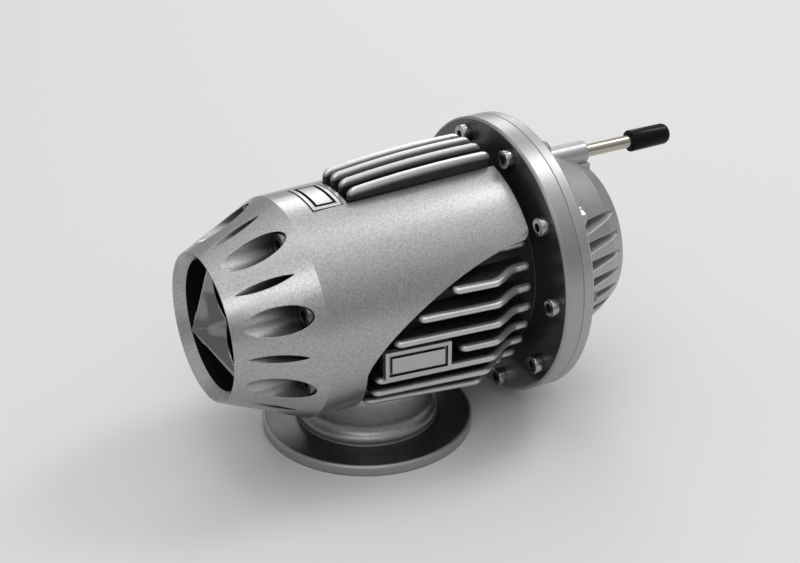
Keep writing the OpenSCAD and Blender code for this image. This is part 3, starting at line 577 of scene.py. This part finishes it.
@dataclass(frozen=True)
class Rubber:
    """Black rubber with a faint moulded sheen."""

    name: str = "black_rubber"
    color: Color = (0.004, 0.004, 0.004)
    pale: float = 2.2
    grain_mm: float = 0.7
    roughness: Span = (0.14, 0.24)
    specular: float = 0.08
    relief_mm: float = 0.006

    def build(self) -> bpy.types.Material:
        """Builds the nodes.

        Returns:
            The material.
        """
        graph = Graph(bpy.data.materials.new(self.name))
        grain = graph.noise(self.grain_mm, detail=3.0)
        graph.set(Base_Color=graph.tint(grain, self.color, tuple(self.pale * c for c in self.color)))
        graph.set(Roughness=graph.span(grain, *self.roughness), Specular_IOR_Level=self.specular)
        graph.relief(grain, self.relief_mm)
        return graph.owner


@dataclass
class Finishes:
    """All finishes of the part, built once."""

    layout: Layout
    made: dict[Slot, bpy.types.Material] = field(init=False)
    shaded_pocket_steel: bpy.types.Material = field(init=False)

    def __post_init__(self) -> None:
        """Builds the materials."""
        recipes = {
            Slot.COWL: MetalFlakePaint(self.layout),
            Slot.BODY: FinnedCasting(self.layout),
            # Cast cover with painted light in its grooves, which lifts them above their shade.
            Slot.COVER: BareMetal(
                "cast_silver", (0.4, 0.402, 0.406), 0.4, grain_mm=0.5, relief_mm=0.03, tone=0.14,
                edge_mm=0.5, metallic=0.85, painted_recess_mm=4.0, painted_recess_tone=1.3),
            # Plate with painted shade in its grooves.
            Slot.PLATE: BareMetal(
                "plate_silver", (0.46, 0.465, 0.47), 0.36, grain_mm=0.35, relief_mm=0.02, tone=0.2,
                edge_mm=0.15, metallic=0.9, painted_recess_mm=1.4, painted_recess_fade=(0.45, 0.85)),
            Slot.CHROME: BareMetal(
                "dark_chrome", (0.26, 0.256, 0.252), 0.05, grain_mm=7.0, relief_mm=0.7, detail=0.0,
                tone=0.02, edge_mm=0.3),
            # Stainless with painted shade in its screw sockets.
            Slot.STAINLESS: BareMetal(
                "stainless", (0.4, 0.39, 0.37), 0.26, tone=0.1, edge_mm=0.1, painted_recess_mm=1.6),
            Slot.NICKEL: BareMetal(
                "nickel_tube", (0.45, 0.418, 0.362), 0.18, grain_mm=0.5, relief_mm=0.002, tone=0.05,
                edge_mm=0.1),
            Slot.RUBBER: Rubber(),
            Slot.BRONZE: BareMetal("bearing_bronze", (0.55, 0.38, 0.2), 0.34),
            Slot.MACHINED: BareMetal("machined_aluminium", (0.6, 0.61, 0.62), 0.3),
            Slot.SPRING: BareMetal("spring_wire", (0.42, 0.42, 0.42), 0.3),
        }
        self.made = {slot: recipe.build() for slot, recipe in recipes.items()}
        # A darker copy of the stainless for the nose screws: painted shade of the pockets they sit deep in.
        self.shaded_pocket_steel = BareMetal("shaded_pocket_steel", (0.16, 0.156, 0.148), 0.3, painted_recess_mm=2.0).build()

    def dress(self, piece: bpy.types.Object, slot: Slot) -> None:
        """Gives a piece the finish of a slot."""
        piece.data.materials.clear()
        piece.data.materials.append(self.made[slot])


def lathe(profile: list[tuple[float, float]], steps: int = 64) -> Mesh:
    """Turns a profile of (radius, height) points about Z.

    Args:
        profile: Points of the profile; it closes on itself.
        steps: Segments of the full turn.

    Returns:
        The turned mesh.
    """
    mesh = bmesh.new()
    points = [mesh.verts.new((radius, 0.0, height)) for radius, height in profile]
    edges = [mesh.edges.new(pair) for pair in zip(points, points[1:] + points[:1])]
    bmesh.ops.spin(
        mesh, geom=points + edges, cent=(0, 0, 0), axis=(0, 0, 1), dvec=(0, 0, 0),
        angle=2 * math.pi, steps=steps, use_merge=True, use_duplicate=False,
    )
    bmesh.ops.remove_doubles(mesh, verts=mesh.verts[:], dist=1e-5)
    bmesh.ops.dissolve_degenerate(mesh, edges=mesh.edges[:], dist=1e-6)
    bmesh.ops.recalc_face_normals(mesh, faces=mesh.faces[:])
    return mesh


def to_hexagon(vert: bmesh.types.BMVert, across: float) -> float:
    """Moves a point out to the outline of a hexagon about Z.

    Args:
        vert: The point.
        across: Width of the hexagon across its flats.

    Returns:
        The point's new distance from Z.
    """
    sector = math.pi / 3
    angle = math.atan2(vert.co.y, vert.co.x)
    reach = across / 2 / math.cos((angle % sector) - sector / 2)
    vert.co.x, vert.co.y = reach * math.cos(angle), reach * math.sin(angle)
    return reach


def ring_edges(mesh: Mesh, height: float, radius: float) -> list[bmesh.types.BMEdge]:
    """Finds the edges that lie on a circle about Z.

    Args:
        mesh: The mesh.
        height: Height of the circle.
        radius: Its radius.

    Returns:
        The edges.
    """
    return [
        edge for edge in mesh.edges
        if all(
            abs(v.co.z - height) < TOUCH and abs(math.hypot(v.co.x, v.co.y) - radius) < TOUCH
            for v in edge.verts
        )
    ]


def bevel(mesh: Mesh, edges: list[bmesh.types.BMEdge], size: float, segments: int = 3) -> None:
    """Rounds edges.

    Args:
        mesh: The mesh.
        edges: Its edges to round.
        size: Width of the rounding in millimetres.
        segments: Steps across the rounding.
    """
    bmesh.ops.bevel(
        mesh, geom=edges, offset=size, offset_type="OFFSET", segments=segments, profile=0.5,
        affect="EDGES", material=-1, clamp_overlap=True,
    )


def points_of(items: list) -> list[bmesh.types.BMVert]:
    """Returns the points among an operator's items."""
    return [item for item in items if isinstance(item, bmesh.types.BMVert)]


def array(mesh: Mesh, count: int, radius: float, first: float) -> None:
    """Repeats a mesh on a circle about Z.

    Args:
        mesh: The mesh, which is replaced by its copies.
        count: Number of copies.
        radius: Radius of the circle.
        first: Angle of the first copy from X, in radians.
    """
    source = mesh.verts[:] + mesh.edges[:] + mesh.faces[:]
    for index in range(count):
        points = points_of(bmesh.ops.duplicate(mesh, geom=source)["geom"])
        bmesh.ops.translate(mesh, verts=points, vec=(radius, 0, 0))
        turn = Matrix.Rotation(first + 2 * math.pi * index / count, 3, "Z")
        bmesh.ops.rotate(mesh, verts=points, cent=(0, 0, 0), matrix=turn)
    bmesh.ops.delete(mesh, geom=points_of(source), context="VERTS")


def along_axis(mesh: Mesh, x: float, z: float) -> None:
    """Lays a mesh that stands on Z along +X, with its X up, at a station and a height."""
    turn = Matrix(((0, 0, 1, x), (0, -1, 0, 0), (1, 0, 0, z), (0, 0, 0, 1)))
    bmesh.ops.transform(mesh, matrix=turn, verts=mesh.verts[:])


def make_object(mesh: Mesh, name: str, smooth_deg: float = 35.0) -> bpy.types.Object:
    """Makes an object of a mesh.

    Args:
        mesh: The mesh in millimetres, which is freed.
        name: Name of the object.
        smooth_deg: Edges sharper than this stay sharp.

    Returns:
        The object, in metres.
    """
    bmesh.ops.scale(mesh, vec=(MM, MM, MM), verts=mesh.verts[:])
    bmesh.ops.recalc_face_normals(mesh, faces=mesh.faces[:])
    data = bpy.data.meshes.new(name)
    mesh.to_mesh(data)
    mesh.free()
    data.shade_smooth()
    data.set_sharp_from_angle(angle=math.radians(smooth_deg))
    piece = bpy.data.objects.new(name, data)
    bpy.context.scene.collection.objects.link(piece)
    return piece


@dataclass
class KeptNodes:
    """The CAD nodes that keep their shape, and the finish of each."""

    finishes: Finishes
    slots: dict[Slot, tuple[str, ...]] = field(default_factory=lambda: {
        Slot.COWL: ("cowl",),
        Slot.BODY: ("valve_body",),
        Slot.PLATE: ("side_plate", "top_plate"),
        Slot.COVER: ("rear_cover",),
        Slot.NICKEL: ("hose_nipple",),
        Slot.BRONZE: ("seat_ring", "guide_bush"),
        Slot.MACHINED: ("secondary_valve", "primary_valve", "front_plate", "rear_plate"),
        Slot.RUBBER: ("secondary_seal", "primary_seal"),
        Slot.STAINLESS: ("valve_shaft", "stop_nut", "plate_nut"),
    })

    def dress(self, nodes: dict[str, bpy.types.Object]) -> None:
        """Gives each CAD node its finish.

        Args:
            nodes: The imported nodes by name.
        """
        for slot, names in self.slots.items():
            for name in names:
                self.finishes.dress(nodes[name], slot)
                LOG.info("dressed %s with %s", name, slot.value)


@dataclass(frozen=True)
class SocketScrew:
    """One socket head screw that points along +Z, with its head below zero."""

    M3_HEAD_H = 3.0
    M4_HEAD_H = 4.0
    SOCKET_FLOOR = 0.3
    SOCKET_POINT = 0.3
    TIP = 0.2
    CROWN = 0.14
    SEAT_EDGE = 0.05

    shank_r: float
    length: float
    head_r: float
    head_h: float
    key: float
    steps: int = 48

    def build(self) -> Mesh:
        """Shapes a rounded head with a hexagon socket, and a chamfered end.

        Returns:
            The screw's mesh.
        """
        socket_r = self.key / 2 / math.cos(math.pi / 6)
        floor_z = -self.SOCKET_FLOOR * self.head_h
        tip = self.TIP * self.shank_r
        mesh = lathe([
            (0.0, self.length), (self.shank_r - tip, self.length), (self.shank_r, self.length - tip),
            (self.shank_r, 0.0), (self.head_r, 0.0), (self.head_r, -self.head_h),
            (socket_r, -self.head_h), (socket_r, floor_z), (0.0, floor_z + self.SOCKET_POINT),
        ], self.steps)
        for vert in mesh.verts:
            if abs(math.hypot(vert.co.x, vert.co.y) - socket_r) < TOUCH and vert.co.z < -TOUCH:
                to_hexagon(vert, self.key)
        bevel(mesh, ring_edges(mesh, -self.head_h, self.head_r), self.CROWN * self.head_r)
        bevel(mesh, ring_edges(mesh, 0.0, self.head_r), self.SEAT_EDGE * self.head_r, segments=2)
        return mesh


@dataclass(frozen=True)
class HexNut:
    """One hexagon nut that stands on zero, with both ends chamfered."""

    FACE = 0.95
    CHAMFER = 0.12
    SLOPE = math.tan(math.radians(30))

    across: float
    height: float
    bore_r: float
    steps: int = 72

    def build(self) -> Mesh:
        """Shapes the nut.

        Returns:
            The nut's mesh.
        """
        flat = self.across / 2
        face_r = self.FACE * flat
        low, high = self.CHAMFER * self.height, (1 - self.CHAMFER) * self.height
        mesh = lathe([
            (self.bore_r, 0.0), (face_r, 0.0), (flat, low),
            (flat, high), (face_r, self.height), (self.bore_r, self.height),
        ], self.steps)
        for vert in mesh.verts:
            if math.hypot(vert.co.x, vert.co.y) > flat - TOUCH:
                fall = (to_hexagon(vert, self.across) - flat) * self.SLOPE
                vert.co.z += fall if vert.co.z < self.height / 2 else -fall
        return mesh


@dataclass
class Assembly:
    """One set of pieces that is shaped anew, with what every set needs."""

    layout: Layout
    finishes: Finishes

    def deliver(
        self, mesh: Mesh, name: str, slot: Slot, body: Body, node: str | None = None,
        smooth_deg: float = 35.0,
    ) -> bpy.types.Object:
        """Makes a dressed piece of a mesh, on its body and in its CAD node's place.

        Args:
            mesh: The mesh in millimetres, which is freed.
            name: Name of the piece.
            slot: Its material slot.
            body: The body that it rides.
            node: The CAD node that it replaces, or None.
            smooth_deg: Edges sharper than this stay sharp.

        Returns:
            The piece.
        """
        piece = make_object(mesh, name, smooth_deg)
        self.finishes.dress(piece, slot)
        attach(piece, body.value)
        if node is not None:
            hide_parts(node)
        LOG.info("built %s", name)
        return piece


@dataclass
class Fasteners(Assembly):
    """Screws of the nose and of the diaphragm flange, with the flange's nuts."""

    cowl_count: int = 8
    cowl_circle_r: float = 27.1
    flange_count: int = 10
    flange_edge: float = 4.8
    nut_height: float = 2.4
    thread_end: float = 0.5

    def build(self) -> None:
        """Builds the three sets, each round the main axis and in its node's place."""
        reach = self.layout.dome_x - self.layout.flange_x + self.nut_height + self.thread_end
        cowl = SocketScrew(shank_r=2.0, length=10.0, head_r=3.5, head_h=SocketScrew.M4_HEAD_H, key=3.0)
        flange = SocketScrew(shank_r=1.5, length=reach, head_r=2.75, head_h=SocketScrew.M3_HEAD_H, key=2.5)
        nut = HexNut(across=5.5, height=self.nut_height, bore_r=1.55)
        circle = self.layout.flange_r - self.flange_edge
        sets = (
            ("cowl_screw_set", cowl, self.cowl_count, self.cowl_circle_r, self.layout.web_x, "cowl_screws"),
            ("flange_screw_set", flange, self.flange_count, circle, self.layout.flange_x, "flange_screws"),
            ("flange_nut_set", nut, self.flange_count, circle, self.layout.dome_x, "flange_nuts"),
        )
        for name, fastener, count, radius, x, node in sets:
            mesh = fastener.build()
            array(mesh, count, radius, math.pi / count)
            along_axis(mesh, x, self.layout.axis_z)
            piece = self.deliver(mesh, name, Slot.STAINLESS, Body.HOUSING, node)
            # Painted shade: the nose screws take the darker copy of the stainless.
            if fastener is cowl:
                piece.data.materials[0] = self.finishes.shaded_pocket_steel


@dataclass
class NoseStar(Assembly):
    """Pointed star in the discharge nose: three blades with hollow-ground faces, on a ring."""

    blades: int = 3
    edge_r: float = 19.05
    edge_back: float = 6.2
    edge_flat: float = 0.8
    valley_r: float = 9.5
    valley_back: float = 6.8
    hollows: Span = (0.5, 0.3)
    scallop: float = 0.13
    rib_half: float = 0.6
    rib_rise: float = 1.5
    steps: int = 10
    ring_t: float = 1.8
    ring_len: float = 4.0
    ring_steps: int = 96
    smooth_deg: float = 30.0

    @staticmethod
    def _point(radius: float, angle: float, back: float) -> Vector:
        """Returns a point at a radius, an angle from up and a depth behind the tip."""
        return Vector((radius * math.cos(angle), radius * math.sin(angle), back))

    def _face(self, first: Vector, second: Vector, hollow: float) -> list[Vector]:
        """Bows the rim of one hollow face.

        Args:
            first: The end that it starts at.
            second: The end that it stops before.
            hollow: Depth of the face's hollow.

        Returns:
            The rim's points.
        """
        into = first.cross(second).normalized()
        into *= math.copysign(hollow, into.z)
        rim = []
        for step in range(self.steps):
            share = step / self.steps
            bow = 4 * share * (1 - share)
            rim.append((first.lerp(second, share) + into * bow) * (1 - self.scallop * bow))
        return rim

    def _rim(self) -> list[Vector]:
        """Runs round the star's front: each blade's flat edge, and two faces with a thin rib between.

        Returns:
            The rim's points.
        """
        third = 2 * math.pi / self.blades
        flat, foot = self.edge_flat / self.edge_r, self.rib_half / self.valley_r
        rim = []
        for blade in range(self.blades):
            turn = blade * third
            middle = turn + third / 2
            edge = self._point(self.edge_r, turn + flat, self.edge_back)
            foot_a = self._point(self.valley_r, middle - foot, self.valley_back)
            crest = self._point(self.valley_r, middle, self.valley_back - self.rib_rise)
            foot_b = self._point(self.valley_r, middle + foot, self.valley_back)
            next_edge = self._point(self.edge_r, turn + third - flat, self.edge_back)
            rim += self._face(edge, foot_a, self.hollows[0]) + [foot_a, crest]
            rim += self._face(foot_b, next_edge, self.hollows[1]) + [next_edge]
        return rim

    def _star(self, depth: float) -> Mesh:
        """Shapes the star with its tip at zero; its ribs fade out before the rim.

        Args:
            depth: How far its back lies behind its tip.

        Returns:
            The star's mesh.
        """
        rim = self._rim()
        mesh = bmesh.new()
        bmesh.ops.create_cone(mesh, cap_ends=True, segments=len(rim), radius1=1.0, radius2=0.5, depth=1.0)
        caps = [face for face in mesh.faces if len(face.verts) == len(rim)]
        base, front = sorted(caps, key=lambda face: face.verts[0].co.z)
        loops = [
            sorted(cap.verts, key=lambda vert: math.atan2(vert.co.y, vert.co.x) % (2 * math.pi))
            for cap in (base, front)
        ]
        for share, loop in zip((1.0, 0.5), loops):
            for vert, point in zip(loop, rim):
                vert.co = point * share
        for blade in range(self.blades):
            crest = blade * len(rim) // self.blades + self.steps + 1
            loops[0][crest].co = (loops[0][crest - 1].co + loops[0][crest + 1].co) / 2
        bmesh.ops.poke(mesh, faces=[front])["verts"][0].co = (0.0, 0.0, 0.0)
        for vert in points_of(bmesh.ops.extrude_face_region(mesh, geom=[base])["geom"]):
            vert.co.z = depth
        bmesh.ops.delete(mesh, geom=[base], context="FACES_ONLY")
        return mesh

    def build(self) -> None:
        """Builds the star and its ring in the place of the CAD insert."""
        low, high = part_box("nose_fin")
        start, depth = low.x / MM, (high.x - low.x) / MM
        inner = self.edge_r - self.ring_t
        ring = lathe([
            (self.edge_r, depth - self.ring_len), (self.edge_r, depth),
            (inner, depth), (inner, depth - self.ring_len),
        ], self.ring_steps)
        for name, mesh in (("nose_star", self._star(depth)), ("nose_star_ring", ring)):
            along_axis(mesh, start, self.layout.axis_z)
            self.deliver(mesh, name, Slot.CHROME, Body.HOUSING, "nose_fin", self.smooth_deg)


@dataclass
class FinSteps(Assembly):
    """Fillings behind the side fins' steps, which make each step as gradual as in the photograph."""

    fins: range = range(1, 8)
    top: float = 16.4
    pitch: float = 6.15
    thick: float = 1.96
    under: float = 0.03
    sink: float = 1.5
    edge: float = 0.93
    edge_steps: int = 4
    samples: int = 14
    smooth_deg: float = 40.0

    def _filling(self, height: float, side: int) -> Mesh:
        """Shapes the filling of one fin.

        Args:
            height: Height of the fin over the main axis.
            side: 1 for the far side and -1 for the near one.

        Returns:
            The filling, in place.
        """
        (start, front_r), (end, rear_r) = FinnedCasting.fin_step, FinnedCasting.fin_rear
        high, low = (math.sqrt(radius ** 2 - height ** 2) - self.under for radius in (front_r, rear_r))
        mesh = bmesh.new()
        bmesh.ops.create_grid(mesh, x_segments=self.samples, y_segments=1, size=1.0)
        for vert in mesh.verts:
            share = (vert.co.x + 1) / 2
            crest = high + (low - high) * share * share * (3 - 2 * share)
            vert.co = (start + (end - start) * share, crest if vert.co.y > 0 else low - self.sink, 0.0)
        raised = points_of(bmesh.ops.extrude_face_region(mesh, geom=mesh.faces[:])["geom"])
        bmesh.ops.translate(mesh, verts=raised, vec=(0, 0, self.thick))
        crests = [
            edge for edge in mesh.edges
            if all(vert.co.y > low - self.sink / 2 for vert in edge.verts)
            and edge.verts[0].co.z == edge.verts[1].co.z
        ]
        bevel(mesh, crests, self.edge, self.edge_steps)
        place = Matrix.Translation((0, 0, self.layout.axis_z + height - self.thick / 2))
        bmesh.ops.transform(mesh, matrix=place @ Matrix.Diagonal((1, side, 1, 1)), verts=mesh.verts[:])
        return mesh

    def build(self) -> None:
        """Builds the fillings of both sides as one piece beside the CAD fins."""
        whole = bmesh.new()
        for fin, side in itertools.product(self.fins, (1, -1)):
            filling = self._filling(self.top - fin * self.pitch, side)
            part = bpy.data.meshes.new("filling")
            filling.to_mesh(part)
            filling.free()
            whole.from_mesh(part)
            bpy.data.meshes.remove(part)
        self.deliver(whole, "fin_steps", Slot.BODY, Body.HOUSING, smooth_deg=self.smooth_deg)


@dataclass
class NippleCap(Assembly):
    """Black rubber cap over the end of the hose nipple."""

    radius: float = 3.4
    length: float = 14.6
    grip: float = 4.2
    bore_r: float = 2.05
    draft: float = 0.12
    bore_over: float = 1.0
    end_round: float = 2.0
    end_steps: int = 8
    mouth_round: float = 0.3
    smooth_deg: float = 60.0

    def build(self) -> None:
        """Builds the cap with a slight draft, a soft mouth edge and a domed end."""
        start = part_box("nipple_cap")[0].x / MM
        end_r, bore = self.radius - self.draft, self.grip + self.bore_over
        mesh = lathe([
            (self.bore_r, 0.0), (self.radius, 0.0), (end_r, self.length), (0.0, self.length),
            (0.0, bore), (self.bore_r, bore),
        ])
        bevel(mesh, ring_edges(mesh, self.length, end_r), self.end_round, self.end_steps)
        bevel(mesh, ring_edges(mesh, 0.0, self.radius), self.mouth_round)
        along_axis(mesh, start, self.layout.nipple_z)
        self.deliver(mesh, "nipple_cap_skin", Slot.RUBBER, Body.HOUSING, "nipple_cap", self.smooth_deg)


@dataclass(frozen=True)
class SpringLength:
    """One length of a spring's wire: its share of the turns and its body; its joint is not used."""

    suffix: str
    share: Span
    body: Body
    joint: Joint


@dataclass
class CoilSpring(Assembly):
    """Round wire spring on the main axis, in lengths that each ride a body."""

    node: str
    mean_r: float
    wire_r: float
    turns: float
    lengths: tuple[SpringLength, ...]
    steps_per_turn: int = 40
    wire_steps: int = 14
    smooth_deg: float = 50.0

    def _wire(self, share: Span, rise: float) -> Mesh:
        """Winds a length of the coil about Z, capped at both ends.

        Args:
            share: First and last share of the spring's turns.
            rise: Height of the whole coil, from the wire's middle to its middle.

        Returns:
            The wire's mesh.
        """
        turns = self.turns * (share[1] - share[0])
        steps = round(turns * self.steps_per_turn)
        mesh = bmesh.new()
        ring = bmesh.ops.create_circle(
            mesh, cap_ends=False, segments=self.wire_steps, radius=self.wire_r)["verts"]
        bmesh.ops.rotate(mesh, verts=ring, cent=(0, 0, 0), matrix=Matrix.Rotation(math.pi / 2, 3, "X"))
        bmesh.ops.translate(mesh, verts=ring, vec=(self.mean_r, 0, self.wire_r + rise * share[0]))
        turn = Matrix.Rotation(2 * math.pi * self.turns * share[0], 3, "Z")
        bmesh.ops.rotate(mesh, verts=ring, cent=(0, 0, 0), matrix=turn)
        bmesh.ops.spin(
            mesh, geom=mesh.verts[:] + mesh.edges[:], cent=(0, 0, 0), axis=(0, 0, 1),
            dvec=(0, 0, rise * (share[1] - share[0]) / steps), angle=2 * math.pi * turns, steps=steps,
            use_merge=False, use_duplicate=False,
        )
        bmesh.ops.holes_fill(mesh, edges=[edge for edge in mesh.edges if edge.is_boundary], sides=0)
        return mesh

    def build(self) -> None:
        """Builds the spring in its node's place, each length held at its rear end."""
        low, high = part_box(self.node)
        start, end = low.x / MM, high.x / MM
        rise = end - start - 2 * self.wire_r
        for part in self.lengths:
            mesh = self._wire(part.share, rise)
            along_axis(mesh, start, self.layout.axis_z)
            name = f"{self.node}_wire{part.suffix}"
            piece = self.deliver(mesh, name, Slot.SPRING, part.body, self.node, self.smooth_deg)
            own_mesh(piece)


@dataclass
class Diaphragm(Assembly):
    """Rubber sheet: a centre between the two plates, and a fold that the flanges hold."""

    SHEET_T = 0.8

    bore_r: float = 2.55
    plate_r: float = 18.5
    free_r: float = 31.0
    rim_r: float = 36.0
    fold_depth: float = 2.0
    fold_margin: float = 1.0
    fold_steps: int = 24
    parting: float = 0.1
    turn_steps: int = 96
    smooth_deg: float = 60.0

    def _sheet(self, name: str, front: list[tuple[float, float]], body: Body) -> None:
        """Turns a sheet of even thickness in the place of the CAD sheet.

        Args:
            name: Name of the piece.
            front: Its front line, as (radius, forward) points.
            body: The body that it rides.
        """
        rear = [(radius, self.SHEET_T - forward) for radius, forward in reversed(front)]
        mesh = lathe([(radius, -forward) for radius, forward in front] + rear, self.turn_steps)
        along_axis(mesh, self.layout.sheet_x, self.layout.axis_z)
        self.deliver(mesh, name, Slot.RUBBER, body, "diaphragm", self.smooth_deg)

    def build(self) -> None:
        """Builds the centre and the fold of the sheet."""
        inner, outer = self.plate_r + self.fold_margin, self.free_r - self.fold_margin
        shares = [step / self.fold_steps for step in range(self.fold_steps + 1)]
        fold = [
            (inner + (outer - inner) * share, self.fold_depth * math.sin(math.pi * share) ** 2)
            for share in shares
        ]
        centre = [(self.bore_r, 0.0), (inner - self.parting, 0.0)]
        self._sheet("diaphragm_centre", centre, Body.STEM)
        self._sheet("diaphragm_fold", fold + [(self.rim_r, 0.0)], Body.HOUSING)


@dataclass
class Studio:
    """Floor, light and camera."""

    floor_color: Color = (0.65, 0.647, 0.645)
    floor_far: Color = (0.48, 0.48, 0.482)
    floor_fade: Span = (600.0, 1600.0)
    floor_half: float = 3000.0
    floor_roughness: float = 0.7
    floor_specular: float = 0.2
    horizon: Color = (0.34, 0.34, 0.345)
    zenith: Color = (1.05, 1.05, 1.06)
    dusk: Span = (0.3, 1.0)
    camera_place: Point = (-189.04, -353.61, 250.29)
    camera_target: Point = (11.56, 0.0, 43.98)
    camera_clip: Span = (0.01, 20.0)
    lens: float = 68.97
    sensor: float = 36.0

    def build_floor(self) -> None:
        """Lays the plain pale floor, which darkens to the horizon's tone far from the part."""
        mesh = bmesh.new()
        bmesh.ops.create_grid(mesh, x_segments=1, y_segments=1, size=self.floor_half)
        floor = make_object(mesh, "floor")
        graph = Graph(bpy.data.materials.new("pale_floor"))
        x, y, _ = graph.place()
        far = graph.ramp(graph.length(x, y), *self.floor_fade)
        graph.set(Base_Color=graph.tint(far, self.floor_color, self.floor_far))
        graph.set(Roughness=self.floor_roughness, Specular_IOR_Level=self.floor_specular)
        floor.data.materials.append(graph.owner)

    def build_world(self) -> None:
        """Sets the soft light from all round, brighter overhead than near the floor."""
        graph = Graph(bpy.data.worlds.new("soft_room"), shader="Background")
        bpy.context.scene.world = graph.owner
        split = graph.node("ShaderNodeSeparateXYZ")
        graph.feed(split.inputs[0], graph.node("ShaderNodeTexCoord").outputs["Generated"])
        graph.set(Color=graph.tint(graph.ramp(split.outputs[2], *self.dusk), self.horizon, self.zenith))

    @staticmethod
    def aim(name: str, data: bpy.types.ID, place: Point, target: Point) -> bpy.types.Object:
        """Adds a lamp or a camera to the scene.

        Args:
            name: Its name.
            data: Its settings.
            place: Its position in millimetres.
            target: The point that it faces, in millimetres.

        Returns:
            The lamp or camera.
        """
        item = bpy.data.objects.new(name, data)
        item.location = Vector(place) * MM
        item.rotation_euler = (Vector(target) - Vector(place)).to_track_quat("-Z", "Y").to_euler()
        bpy.context.scene.collection.objects.link(item)
        return item

    def add_panel(self, name: str, place: Point, target: Point, size: Span, power: float) -> None:
        """Adds a soft light panel.

        Args:
            name: Name of the lamp.
            place: Its position in millimetres.
            target: The point that it faces, in millimetres.
            size: Its width and height in millimetres.
            power: Its power in watts.
        """
        data = bpy.data.lights.new(name, "AREA")
        data.shape = "RECTANGLE"
        data.size, data.size_y = size[0] * MM, size[1] * MM
        data.energy = power
        self.aim(name, data, place, target)

    def build_lights(self) -> None:
        """Hangs the light panels."""
        self.add_panel("overhead_panel", (-60, 40, 1500), (0, 0, 40), (640, 640), 2.2)
        self.add_panel("right_panel", (900, 40, 1080), (10, 0, 60), (360, 480), 4.0)
        self.add_panel("front_panel", (-630, -810, 1000), (-20, 0, 45), (1200, 340), 2.9)
        self.add_panel("back_panel", (590, 1020, 740), (0, 0, 60), (440, 580), 2.4)

    def build_camera(self) -> None:
        """Sets the camera at the photograph's angle."""
        data = bpy.data.cameras.new("camera")
        data.lens = self.lens
        data.sensor_width = self.sensor
        data.sensor_fit = "HORIZONTAL"
        data.clip_start, data.clip_end = self.camera_clip
        bpy.context.scene.camera = self.aim("camera", data, self.camera_place, self.camera_target)

    def build(self) -> None:
        """Builds the whole studio."""
        self.build_floor()
        self.build_world()
        self.build_lights()
        self.build_camera()
        bpy.context.scene.view_settings.view_transform = "Standard"


def main() -> None:
    """Builds the sub-assemblies in order."""
    logging.basicConfig(level=logging.INFO, format="%(name)s: %(message)s")
    for item in list(bpy.data.objects):
        bpy.data.objects.remove(item, do_unlink=True)
    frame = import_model()
    layout = Layout.read()
    finishes = Finishes(layout)
    KeptNodes(finishes).dress(frame["nodes"])
    Fasteners(layout, finishes).build()
    NoseStar(layout, finishes).build()
    FinSteps(layout, finishes).build()
    NippleCap(layout, finishes).build()
    split = 0.3
    whole = SpringLength("", (0.0, 1.0), Body.HOUSING, Joint.LIFT)
    front = SpringLength("_front", (0.0, split), Body.SECONDARY, Joint.STROKE)
    rear = SpringLength("_rear", (split, 1.0), Body.HOUSING, Joint.LIFT)
    CoilSpring(
        layout, finishes, "secondary_spring", mean_r=12.0, wire_r=0.8, turns=6.0, lengths=(whole,)).build()
    CoilSpring(
        layout, finishes, "main_spring", mean_r=12.5, wire_r=1.1, turns=5.0, lengths=(front, rear)).build()
    Diaphragm(layout, finishes).build()
    Studio().build()


if __name__ == "__main__":
    main()
